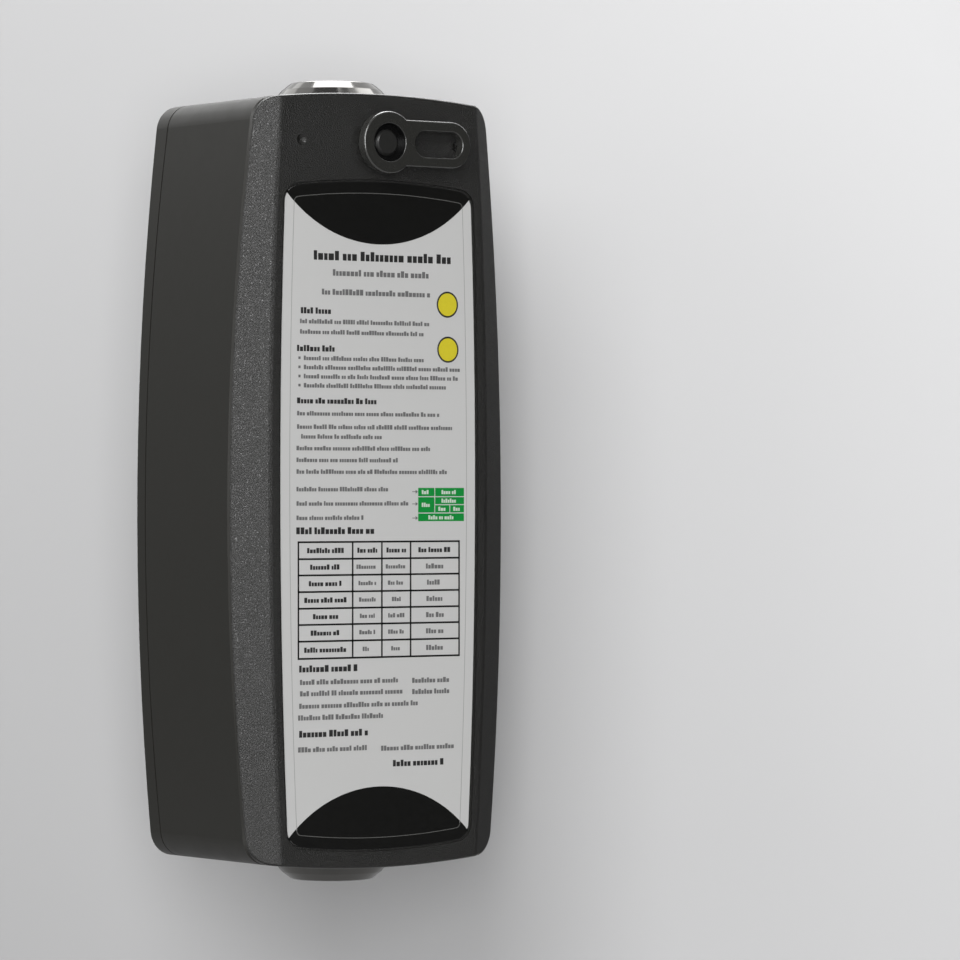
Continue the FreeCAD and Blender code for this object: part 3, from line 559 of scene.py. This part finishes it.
def ring_outline(sizes, inset, steps=40):
    """Closed outline of the film, drawn in by an inset."""
    def flank(z_from, z_to, sign):
        heights = [z_from + (z_to - z_from) * k / steps for k in range(1, steps)]
        return [(sign * side_reach(sizes, z, inset), z) for z in heights]

    top, bottom = film_end(sizes, inset, 1), film_end(sizes, inset, -1)[::-1]
    return top + flank(top[-1][1], bottom[0][1], -1) + bottom + flank(bottom[-1][1], top[0][1], 1)


def field_arc(sizes, crest, end, sign):
    """Arc that bounds a dark end field: its radius, its centre's height and half its width."""
    half = side_reach(sizes, end)
    dip = abs(end - crest)
    radius = (half * half + dip * dip) / (2 * dip)
    return radius, crest + sign * radius, half


def field_outline(sizes, crest, end, sign, steps=48):
    """Outline of a dark end field: the film's edge beyond a height, closed by a long arc."""
    edge = [p for p in ring_outline(sizes, 0.0) if sign * (p[1] - end) > 0]
    edge.sort(key=lambda p: sign * math.atan2(p[1] - end, p[0]))
    radius, centre, half = field_arc(sizes, crest, end, sign)
    turn = math.asin(half / radius)
    turns = [turn * (1 - 2 * k / steps) for k in range(steps + 1)]
    return edge + [(-radius * math.sin(t), centre - sign * radius * math.cos(t)) for t in turns]


def field_line_outline(sizes, crest, end, sign):
    """Outline of the thin line's run over a dark end field."""
    radius, centre, _ = field_arc(sizes, crest, end, sign)
    middle = 0.9 * end
    runs = []
    for inset in (sizes.line_inset, sizes.line_inset + sizes.line_width):
        inside = [p for p in ring_outline(sizes, inset)
                  if sign * p[1] > 0 and math.hypot(p[0], p[1] - centre) < radius]
        runs.append(sorted(inside, key=lambda p: sign * math.atan2(p[1] - middle, p[0])))
    return runs[0] + runs[1][::-1]


def ring_of(shape, outline, y):
    """Vertices on an outline at a depth."""
    return [shape.verts.new((x, y, z)) for x, z in outline]


def join_rings(shape, rings):
    """Faces between rings that have equally many vertices."""
    for a, b in zip(rings, rings[1:]):
        for k in range(len(a)):
            n = (k + 1) % len(a)
            shape.faces.new((a[k], a[n], b[n], b[k]))


def fill_face(shape, loops):
    """Flat face with holes: the first loop is its outline and the others are its holes."""
    verts = [vert for loop in loops for vert in loop]
    for corners in tessellate_polygon([[vert.co for vert in loop] for loop in loops]):
        shape.faces.new([verts[k] for k in corners])


def flat_shape(outline, thickness, layer=0):
    """Function that fills a mesh with a thin closed shape on the label, from an outline."""
    def fill(shape):
        rings = [ring_of(shape, outline, LABEL_FACE - thickness * k) for k in (layer, layer + 1)]
        for ring in rings:
            shape.faces.new(ring)
        join_rings(shape, rings)
        bmesh.ops.triangulate(shape, faces=[f for f in shape.faces if len(f.verts) > 4])
    return fill


def flat_band(sizes, insets, thickness, layer=0):
    """Function that fills a mesh with a thin closed band along the film's edge, between two insets."""
    def fill(shape):
        outer, inner = [ring_outline(sizes, inset) for inset in insets]
        low, high = [LABEL_FACE - thickness * k for k in (layer, layer + 1)]
        rings = [ring_of(shape, outline, y) for outline, y in
                 ((outer, low), (outer, high), (inner, high), (inner, low))]
        join_rings(shape, rings + rings[:1])
    return fill


def printed(name, fill, finish):
    """A flat printed piece of the label."""
    return place_piece(filled_mesh(fill, name), name, finish)


# Lines of print: left end, right end, middle height and height of the letters, in millimetres
HEADINGS = [
    (-24.5, 27.8, 69.4, 2.9), (-29.3, -17.4, 52.3, 1.9), (-30.7, -16.6, 40.7, 1.9), (-30.7, -0.5, 24.6, 1.8),
    (-31.0, -1.6, -15.4, 2.1), (-29.9, -8.0, -57.8, 2.1), (-29.9, -3.5, -77.8, 2.1), (5.2, 24.7, -87.8, 2.0),
]
LINES = [
    (-17.4, 20.1, 64.2, 2.0), (-21.5, 19.7, 58.2, 1.8),
    (-29.6, 19.0, 49.0, 1.4), (-29.6, 17.5, 45.8, 1.4),
    (-28.2, 17.4, 37.7, 1.4), (-28.2, 31.2, 34.9, 1.4), (-28.2, 30.5, 32.1, 1.4), (-28.2, 25.4, 29.3, 1.4),
    (-30.7, 23.1, 20.7, 1.4), (-30.7, 27.8, 16.6, 1.4), (-29.2, 1.0, 13.6, 1.4), (-30.9, 19.7, 10.0, 1.4),
    (-30.9, 7.1, 6.4, 1.4), (-30.9, 25.9, 2.8, 1.4), (-30.9, 3.7, -2.6, 1.4), (-30.9, 11.2, -7.0, 1.4),
    (-30.9, -5.4, -11.4, 1.4), (-29.6, 7.5, -61.9, 1.6), (12.5, 27.8, -62.2, 1.6),
    (-29.6, 9.4, -65.4, 1.6), (12.5, 27.8, -65.7, 1.6), (-29.9, 14.8, -69.2, 1.6), (-30.3, 1.4, -72.8, 1.6),
    (-30.3, -3.5, -82.6, 1.6), (0.7, 29.0, -83.0, 1.6),
]

# Letters and gaps as shares of a line's height, and how often a letter is tall
LETTER_WIDTHS = (0.42, 0.68)
LOW_LETTER = 0.72
LETTER_GAP = 0.14
WORD_GAP = 0.5
END_GAP = 0.35
TALL_CHANCE = 0.3

# Bullets, arrows, table, spots and block of cells, in millimetres
DOT_X, DOT_SIZE, DOT_ROWS = -29.8, 0.8, (37.7, 34.9, 32.1, 29.3)
ARROW_ROWS = (-3.4, -7.2, -11.6)
ARROW_SHAFT = (13.3, 1.5, 0.22)
ARROW_HEAD = ((13.8, -0.6), (14.7, 0), (13.8, 0.6))
TABLE_COLUMNS = (-30.2, -10.0, 1.0, 11.9, 30.5)
TABLE_ROWS = (-18.9, -24.1, -29.1, -34.2, -39.3, -44.3, -49.4, -54.7)
SPOTS = ((26.0, 55.2), (26.2, 41.1))
SPOT_RADIUS, SPOT_RIM = 4.1, 0.55
CELLS = [
    (14.8, 21.0, -2.2, -4.8), (21.3, 32.4, -2.2, -4.8), (14.8, 21.0, -5.1, -9.9), (21.3, 32.4, -5.1, -7.3),
    (21.3, 26.8, -7.6, -9.9), (27.1, 32.4, -7.6, -9.9), (14.8, 32.4, -10.2, -12.6),
]

# Words in cells: the least and greatest share of each table column that they fill, their share of the
# top row, their margin as a share of the block's cells, and their heights in millimetres
COLUMN_SHARES = ((0.45, 0.8), (0.3, 0.75), (0.3, 0.75), (0.3, 0.4))
TOP_SHARE, BLOCK_MARGIN = 0.68, 0.22
LARGE_WORDS, SMALL_WORDS, BLOCK_WORDS = 1.6, 1.35, 1.3


def word_bars(rng, left, right, z, height):
    """Small blocks that stand for a line of words between two places, in millimetres."""
    bars, x, left_in_word = [], left, rng.randint(3, 8)
    while x < right - END_GAP * height:
        width = min(rng.uniform(*LETTER_WIDTHS) * height, right - x)
        tall = height if rng.random() < TALL_CHANCE or x == left else LOW_LETTER * height
        bars.append((x + width / 2, z - (height - tall) / 2, width, tall))
        left_in_word -= 1
        x += width + (LETTER_GAP if left_in_word else WORD_GAP) * height
        left_in_word = left_in_word or rng.randint(2, 9)
    return bars


def cell_words(rng):
    """Words centred in the table's cells: first the bold ones, in the top row and first column."""
    bold, plain = [], []
    for row, (top, bottom) in enumerate(zip(TABLE_ROWS, TABLE_ROWS[1:])):
        for column, (left, right) in enumerate(zip(TABLE_COLUMNS, TABLE_COLUMNS[1:])):
            middle, z = (left + right) / 2, (top + bottom) / 2
            share = rng.uniform(*COLUMN_SHARES[column])
            if row == 0:
                share = TOP_SHARE
            half = share * (right - left) / 2
            height = LARGE_WORDS if column in (0, 3) or row == 0 else SMALL_WORDS
            kept = bold if row == 0 or column == 0 else plain
            kept += word_bars(rng, middle - half, middle + half, z, height)
    return bold, plain


def table_bars(rule):
    """Rules of the table."""
    left, right = TABLE_COLUMNS[0], TABLE_COLUMNS[-1]
    top, bottom = TABLE_ROWS[0], TABLE_ROWS[-1]
    across = [((left + right) / 2, z, right - left + rule, rule) for z in TABLE_ROWS]
    return across + [(x, (top + bottom) / 2, rule, top - bottom) for x in TABLE_COLUMNS]


class ChargerOperator:
    """What all operators of the box share."""
    bl_options = {"REGISTER", "UNDO"}


class CHARGER_OT_shells(ChargerOperator, bpy.types.Operator):
    """Finish the sleeve, both covers and their seals"""
    bl_idname = "charger.shells"
    bl_label = "Moulded shells"

    def execute(self, context):
        sizes = context.scene.charger_shells
        dress(satin_plastic(sizes), "main_housing", "front_cover")
        dress(spark_plastic(sizes), "back_cover")
        dress(moulded("seal_rubber_finish", (0.0025, 0.0025, 0.0025), 0.9), "back_seal", "front_seal")
        return {"FINISHED"}


class CHARGER_OT_label(ChargerOperator, bpy.types.Operator):
    """Print the label's fields, lines, words, table, spots and cells"""
    bl_idname = "charger.label"
    bl_label = "Printed label"

    def execute(self, context):
        sizes = context.scene.charger_label
        thin = sizes.ink_thickness
        rng = random.Random(sizes.seed)
        dress(label_film(sizes.film_colour), "back_label")
        inks = {name: inked(name + "_ink", getattr(sizes, name + "_colour")) for name in
                ("field", "heading", "text", "line", "field_line", "light", "spot", "cell")}
        fields = {"top": (sizes.top_cap_low, sizes.top_cap_end, 1),
                  "bottom": (sizes.bottom_cap_high, sizes.bottom_cap_end, -1)}
        for end, field in fields.items():
            printed("label_field_" + end, flat_shape(field_outline(sizes, *field), thin), inks["field"])
        # A near-black sheet under the film's edge shows round it as painted shade in the groove
        groove_shade = moulded("glue_sheet", (0.004, 0.004, 0.004), 0.6)
        under = flat_band(sizes, (-sizes.groove_shade_margin, sizes.line_width), thin, -LABEL_THICKNESS / thin)
        printed("label_glue", under, groove_shade)
        border = (sizes.line_inset, sizes.line_inset + sizes.line_width)
        printed("label_thin_line", flat_band(sizes, border, thin, 0.1), inks["line"])
        for end, field in fields.items():
            run = flat_shape(field_line_outline(sizes, *field), thin, 1)
            printed("label_field_line_" + end, run, inks["field_line"])
        bold, plain = cell_words(rng)
        bold += [bar for row in HEADINGS for bar in word_bars(rng, *row)]
        print_bars("label_headings", bold, inks["heading"], thin)
        plain += [bar for row in LINES for bar in word_bars(rng, *row)]
        plain += [(DOT_X, z, DOT_SIZE, DOT_SIZE) for z in DOT_ROWS]
        plain += [(ARROW_SHAFT[0], z, *ARROW_SHAFT[1:]) for z in ARROW_ROWS]
        print_bars("label_lines", plain, inks["text"], thin)
        for k, row in enumerate(ARROW_ROWS, 1):
            head = [(x * MM, (row + z) * MM) for x, z in ARROW_HEAD]
            printed("label_arrow_%d" % k, flat_shape(head, thin, 0.1), inks["text"])
        print_bars("label_table", table_bars(sizes.rule_width / MM), inks["field"], thin, 0.2)
        for k, (x, z) in enumerate(SPOTS, 1):
            outer, inner = [circle_outline((x * MM, z * MM), (SPOT_RADIUS - less) * MM, 48)
                            for less in (0, SPOT_RIM)]
            printed("label_spot_rim_%d" % k, flat_shape(outer, thin), inks["heading"])
            printed("label_spot_%d" % k, flat_shape(inner, thin, 1), inks["spot"])
        cells = [((a + b) / 2, (c + d) / 2, b - a, c - d) for a, b, c, d in CELLS]
        print_bars("label_cells", cells, inks["cell"], thin)
        words = []
        for left, right, top, bottom in CELLS:
            margin = BLOCK_MARGIN * (right - left)
            words += word_bars(rng, left + margin, right - margin, (top + bottom) / 2, BLOCK_WORDS)
        print_bars("label_cell_words", words, inks["light"], thin, 1)
        return {"FINISHED"}


def corner_rounds(radius, steps=5):
    """Inset and drop of the points of a rounded edge, from the flat face to the wall."""
    turns = [math.pi / 2 * k / steps for k in range(steps + 1)]
    return [(radius * (1 - math.sin(t)), radius * (1 - math.cos(t))) for t in turns]


def tongue_outline(sizes, centre, inset, steps=40):
    """Outline of the ring and the tongue, drawn in by an inset."""
    ring, half = sizes.ring_radius - inset, sizes.tongue_half - inset
    meet = math.asin(half / ring)
    quarter = math.pi / 2
    return (arc_points(centre, ring, meet, 2 * math.pi - meet, 3 * steps)
            + arc_points((centre[0] + sizes.tongue_reach, centre[1]), half, -quarter, quarter, 2 * steps))


def slot_outline(sizes, centre, inset, steps=32):
    """Outline of the slot, widened by an inset."""
    radius, quarter = sizes.slot_radius + inset, math.pi / 2
    return (arc_points((centre[0] + sizes.slot_start, centre[1]), radius, quarter, 3 * quarter, steps)
            + arc_points((centre[0] + sizes.tongue_reach, centre[1]), radius, -quarter, quarter, steps))


def arm_shape(sizes, centre, front, tip):
    """Function that fills a mesh with the holder: ring, tongue, slot, counterbore, eye and nub."""
    back = front + sizes.thickness
    floor = back - sizes.floor

    def wall(shape, outline, front_edge):
        """First and last ring of a wall that goes through, from the front face to the back face."""
        near = [ring_of(shape, outline(sizes, centre, inset), front + drop)
                for inset, drop in corner_rounds(front_edge)]
        far = [ring_of(shape, outline(sizes, centre, inset), back - drop)
               for inset, drop in corner_rounds(sizes.back_edge)]
        join_rings(shape, near + far[::-1])
        return near[0], far[0]

    def fill(shape):
        outer = wall(shape, tongue_outline, sizes.outer_edge)
        slot = wall(shape, slot_outline, sizes.inner_edge)
        bore = [(sizes.bore_radius + inset, front + drop) for inset, drop in corner_rounds(sizes.inner_edge)]
        bore += [(sizes.bore_radius, floor), (sizes.eye_radius, floor), (sizes.eye_radius, back)]
        bore = [ring_of(shape, circle_outline(centre, radius), y) for radius, y in bore]
        join_rings(shape, bore)
        root = (centre[0] + sizes.nub_reach, centre[1])
        nub = [(sizes.nub_radius, back)]
        nub += [(sizes.nub_tip - inset * sizes.nub_edge, tip - drop * sizes.nub_edge)
                for inset, drop in ((0, 1), (0.3, 0.3), (1, 0))]
        nub = [ring_of(shape, circle_outline(root, radius, 32), y) for radius, y in nub]
        join_rings(shape, nub)
        shape.faces.new(nub[-1])
        fill_face(shape, [outer[0], slot[0], bore[0]])
        fill_face(shape, [outer[1], slot[1], bore[-1], nub[0]])
    return fill


class CHARGER_OT_holder(ChargerOperator, bpy.types.Operator):
    """Make the swivelling holder with softened edges, and finish its pin"""
    bl_idname = "charger.holder"
    bl_label = "Swivelling holder"

    def execute(self, context):
        sizes = context.scene.charger_holder
        low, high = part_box("holder_arm")
        pin_low, pin_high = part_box("pivot_pin")
        centre = ((pin_low.x + pin_high.x) / 2, (pin_low.z + pin_high.z) / 2)
        coat = coated_metal("holder_coat", sizes.coat_colour, 0.25, sizes.coat_weight)
        # Within the counterbore the lacquer gives way to painted shade, and the clear coat is taken off there
        # so that it shows no reflection
        inside = coat.reach((centre[0], 0, centre[1]), (1, 0, 1))
        blur = 0.05 * MM
        border = sizes.bore_radius + sizes.inner_edge / 2 - blur
        coat.second_colour(coat.step(inside, border, 1, 0, blur), sizes.bore_painted_shade)
        coat.give(coat.shader, Coat_Weight=coat.step(inside, border, 0, sizes.coat_weight, blur))
        fill = arm_shape(sizes, centre, low.y, high.y)
        arm = softened(fill, "holder_plate", coat, "holder")
        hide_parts("holder_arm")
        dress(coated_metal("pin_coat", sizes.pin_colour, 0.3, 0.15), "pivot_pin")
        dress(plated("brass_finish", (0.62, 0.45, 0.2), 0.3), "pivot_insert")
        return {"FINISHED"}


def turned_shape(profile, axis, steps=96):
    """Function that fills a mesh with a closed ring turned about an upright axis: radius and z pairs."""
    def fill(shape):
        rings = [[shape.verts.new((x, y, z)) for x, y in circle_outline(axis, radius, steps)]
                 for radius, z in profile]
        join_rings(shape, rings + rings[:1])
    return fill


def eased(corners, steps=6):
    """Profile with rounded corners: each corner is a distance from the axis, a height and its rounding."""
    points = []
    for k, (x, z, radius) in enumerate(corners):
        if not radius:
            points.append((x, z))
            continue
        here = Vector((x, z))
        before = (Vector(corners[k - 1][:2]) - here).normalized()
        after = (Vector(corners[(k + 1) % len(corners)][:2]) - here).normalized()
        half_angle = before.angle(after) / 2
        reach = radius / math.tan(half_angle)
        middle = here + (before + after).normalized() * (radius / math.sin(half_angle))
        first, last = here + before * reach - middle, here + after * reach - middle
        start = math.atan2(first.y, first.x)
        points += arc_points(middle, radius, start, start - first.angle_signed(last), steps)
    return points


# One turn of the thread: shares of its pitch, and of its depth
THREAD_FORM = ((0.35, 1), (0.5, 1), (0.85, 0), (1, 0))


def gland_profile(sizes, shell_end, top, neck_end):
    """Turned section of a gland that points up: a foot, two cones, a rim, a mouth and a threaded neck."""
    mouth, neck, soft, chamfer = sizes.mouth_radius, sizes.neck_radius, sizes.edge_radius, sizes.mouth_chamfer
    seat = shell_end - sizes.seat_depth
    profile = eased([
        (mouth, neck_end, 0), (mouth, top - chamfer, 0), (mouth + chamfer, top, 0),
        (sizes.rim_radius, top, sizes.rim_edge), (sizes.break_radius, shell_end + sizes.break_height, soft),
        (sizes.base_radius, shell_end + sizes.base_height, soft), (sizes.base_radius, seat, 0),
        (neck, seat, 0),
    ])
    for k in range(int((seat - neck_end) / sizes.thread_pitch)):
        profile += [(neck - deep * sizes.thread_depth, seat - sizes.thread_pitch * (k + share))
                    for share, deep in THREAD_FORM]
    return profile + [(neck - sizes.thread_depth, neck_end)]


class CHARGER_OT_entries(ChargerOperator, bpy.types.Operator):
    """Turn the cable glands, and finish the bushes, locknuts and screws"""
    bl_idname = "charger.entries"
    bl_label = "Cable entries"

    def execute(self, context):
        sizes = context.scene.charger_entries
        shell_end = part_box("main_housing")[1].z
        metal = turned_metal("turned_gland", sizes.metal_colour, shell_end + sizes.base_height)
        for end, sign in (("supply", 1), ("output", -1)):
            low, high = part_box(end + "_gland")
            axis = ((low.x + high.x) / 2, (low.y + high.y) / 2)
            top, neck_end = (high.z, low.z) if sign > 0 else (-low.z, -high.z)
            profile = [(radius, sign * z) for radius, z in gland_profile(sizes, shell_end, top, neck_end)]
            gland = softened(turned_shape(profile, axis), end + "_gland_turned", metal)
            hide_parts(end + "_gland")
        dress(moulded("bush_rubber", (0.010, 0.010, 0.010), 0.62), "supply_bush", "output_bush")
        dress(plated("zinc_finish", (0.55, 0.55, 0.56), 0.34), "supply_locknut", "output_locknut",
              "back_cover_screws", "power_board_screws", "front_cover_screws", "control_board_screws")
        return {"FINISHED"}


class CHARGER_OT_front(ChargerOperator, bpy.types.Operator):
    """Finish the display window, the display and the lamps"""
    bl_idname = "charger.front"
    bl_label = "Display and lamps"

    def execute(self, context):
        low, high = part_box("display_window")
        dress(smoked_window("smoked_window", low, high, 4.5 * MM), "display_window")
        dress(moulded("display_frame", (0.05, 0.07, 0.07), 0.25), "display_module")
        dress(moulded("frosted_pipe", (0.55, 0.57, 0.57), 0.45), "light_pipes", "status_leds")
        return {"FINISHED"}


class CHARGER_OT_inside(ChargerOperator, bpy.types.Operator):
    """Finish the boards and what stands on them"""
    bl_idname = "charger.inside"
    bl_label = "Inner parts"

    def execute(self, context):
        dress(circuit_board("board_mask", (0.01, 0.09, 0.03)), "control_board", "power_board")
        dress(moulded("chip_mould", (0.02, 0.02, 0.02), 0.5), "controller_chip", "shake_sensor", "buzzer",
              "power_converter")
        dress(moulded("terminal_mould", (0.03, 0.2, 0.06), 0.45), "supply_terminals", "output_terminals",
              "link_sockets")
        dress(moulded("core_coat", (0.12, 0.12, 0.12), 0.55), "leakage_sensor", "line_choke", "fuse")
        dress(moulded("dipped_coat", (0.02, 0.08, 0.3), 0.3), "capacitors", "varistor")
        dress(moulded("relay_mould", (0.02, 0.03, 0.05), 0.3), "relays")
        dress(plated("copper_finish", (0.72, 0.33, 0.18), 0.32), "sensor_bars")
        dress(moulded("ribbon_jacket", (0.35, 0.35, 0.35), 0.5), "link_ribbon")
        return {"FINISHED"}


def clear_behind(paper):
    """Makes a sheet clear from behind, so that the box is seen from every side."""
    behind = paper.node("ShaderNodeNewGeometry").outputs["Backfacing"]
    clear = paper.node("ShaderNodeBsdfTransparent").outputs["BSDF"]
    either = paper.node("ShaderNodeMixShader", behind, paper.shader.outputs["BSDF"], clear)
    paper.give(paper.tree.nodes["Material Output"], Surface=either.outputs["Shader"])
    return paper


def backdrop_paper(stage, across):
    """Pale paper with painted light falloff, a little darker towards the lower left, and clear from behind.
    """
    paper = Finish("backdrop_paper", stage.backdrop_colour, 0.9)
    way = across + UP * stage.backdrop_slant
    slant = paper.node("ShaderNodeVectorMath", paper.place, way, operation="DOT_PRODUCT").outputs["Value"]
    paper.tint(paper.ranged(slant, (-stage.fade_reach, stage.fade_reach), (0, 1)), stage.backdrop_painted_fade)
    return clear_behind(paper)


def floor_paper(stage):
    """Plain floor: what is seen of it is pale, and it throws less light back."""
    paper = Finish("floor_paper", stage.floor_colour, 0.9, Emission_Color=WHITE)
    paper.tint(paper.noise(0.3, 2), 0.004)
    seen = paper.seen()
    paper.second_colour(seen, stage.floor_seen)
    paper.give(paper.shader, Emission_Strength=paper.math("MULTIPLY", seen, stage.floor_glow))
    return clear_behind(paper)


def stage_sheet(name, centre, right, up, finish, *unmet):
    """A flat sheet of the studio, from its centre and half its sides, that some kinds of ray don't meet."""
    mesh = bpy.data.meshes.new(name)
    corners = [centre + right * a + up * b for a, b in ((-1, -1), (1, -1), (1, 1), (-1, 1))]
    mesh.from_pydata(corners, [], [range(len(corners))])
    mesh.materials.append(finish.material)
    sheet = add_object(name, mesh)
    for ray in unmet:
        setattr(sheet, "visible_" + ray, False)


def heading(turn, rise):
    """Direction from the box: a turn from the label's side towards the left, and a rise."""
    return Vector((-math.sin(turn) * math.cos(rise), -math.cos(turn) * math.cos(rise), math.sin(rise)))


def soft_lamp(name, direction, distance, width, height, level):
    """A soft lamp that lights a white surface facing it to a level."""
    data = bpy.data.lights.new(name, "AREA")
    data.shape = "RECTANGLE"
    data.size = width
    data.size_y = height
    data.energy = level * (math.pi * distance) ** 2
    lamp = add_object(name, data)
    lamp.location = direction * distance
    lamp.rotation_euler = (-direction).to_track_quat("-Z", "Y").to_euler()


class CHARGER_OT_stage(ChargerOperator, bpy.types.Operator):
    """Set up the camera, the lamps, the floor and the backdrop"""
    bl_idname = "charger.stage"
    bl_label = "Stage"

    def execute(self, context):
        stage = context.scene.charger_stage
        ahead = -heading(stage.camera_turn, 0)
        right = Vector((ahead.y, -ahead.x, 0))
        data = bpy.data.cameras.new("photo_camera")
        data.lens = stage.camera_lens
        camera = add_object("photo_camera", data)
        camera.location = stage.camera_place
        look = ahead + UP * math.tan(stage.camera_rise)
        camera.rotation_euler = look.to_track_quat("-Z", "Y").to_euler()
        context.scene.camera = camera

        reach = stage.backdrop_reach
        stage_sheet("backdrop", ahead * stage.backdrop_gap, right * reach, UP * reach,
                    backdrop_paper(stage, right), "diffuse", "glossy", "shadow", "transmission")
        half = stage.floor_size / 2
        floor_z = CAD_BOX[0].z - stage.floor_drop
        stage_sheet("floor", UP * floor_z, Vector((half, 0, 0)), Vector((0, half, 0)), floor_paper(stage))
        flag_side = heading(-stage.flag_turn, 0)
        flag_right = Vector((-flag_side.y, flag_side.x, 0)) * stage.flag_width / 2
        stage_sheet("dark_flag", flag_side * stage.flag_distance, flag_right, UP * stage.flag_height / 2,
                    Finish("flag_cloth", (0.01, 0.01, 0.01), 0.9), "camera", "diffuse", "shadow")

        for name, (turn, rise, distance, width, height) in LAMPS.items():
            direction = heading(math.radians(turn), math.radians(rise))
            soft_lamp(name, direction, distance, width, height, getattr(stage, name))

        world = bpy.data.worlds.new("studio")
        world.use_nodes = True
        context.scene.world = world
        sky = Nodes(world.node_tree)
        strength = sky.ranged(sky.seen(), (0, 1), (stage.sky_level, stage.horizon_level))
        sky.give(sky.tree.nodes["Background"], Color=WHITE, Strength=strength)
        context.scene.view_settings.view_transform = "Standard"
        return {"FINISHED"}


class CHARGER_PT_panel(bpy.types.Panel):
    """Sidebar panel of the control box"""
    bl_idname = "CHARGER_PT_panel"
    bl_label = "Charging control box"
    bl_space_type = "VIEW_3D"
    bl_region_type = "UI"
    bl_category = "Charger"

    def draw(self, context):
        for operator in OPERATORS:
            self.layout.operator(operator.bl_idname)
        for name in GROUPS:
            box = self.layout.box()
            group = getattr(context.scene, name)
            for key in group.bl_rna.properties.keys():
                if key not in ("rna_type", "name"):
                    box.prop(group, key)


GROUPS = {"charger_shells": ChargerShells, "charger_label": ChargerLabel, "charger_holder": ChargerHolder,
          "charger_entries": ChargerEntries, "charger_stage": ChargerStage}
OPERATORS = (CHARGER_OT_stage, CHARGER_OT_shells, CHARGER_OT_label, CHARGER_OT_holder, CHARGER_OT_entries,
             CHARGER_OT_front, CHARGER_OT_inside)


def register():
    """Registers the classes and puts the sizes on the scene."""
    for cls in (*GROUPS.values(), *OPERATORS, CHARGER_PT_panel):
        bpy.utils.register_class(cls)
    for name, group in GROUPS.items():
        setattr(bpy.types.Scene, name, PointerProperty(type=group))


def unregister():
    """Takes the sizes and the classes away again."""
    for name in GROUPS:
        delattr(bpy.types.Scene, name)
    for cls in (CHARGER_PT_panel, *reversed(OPERATORS), *reversed(GROUPS.values())):
        bpy.utils.unregister_class(cls)


def main():
    """Makes the looks."""
    register()
    for operator in OPERATORS:
        group, name = operator.bl_idname.split(".")
        getattr(getattr(bpy.ops, group), name)()


if __name__ == "__main__":
    main()
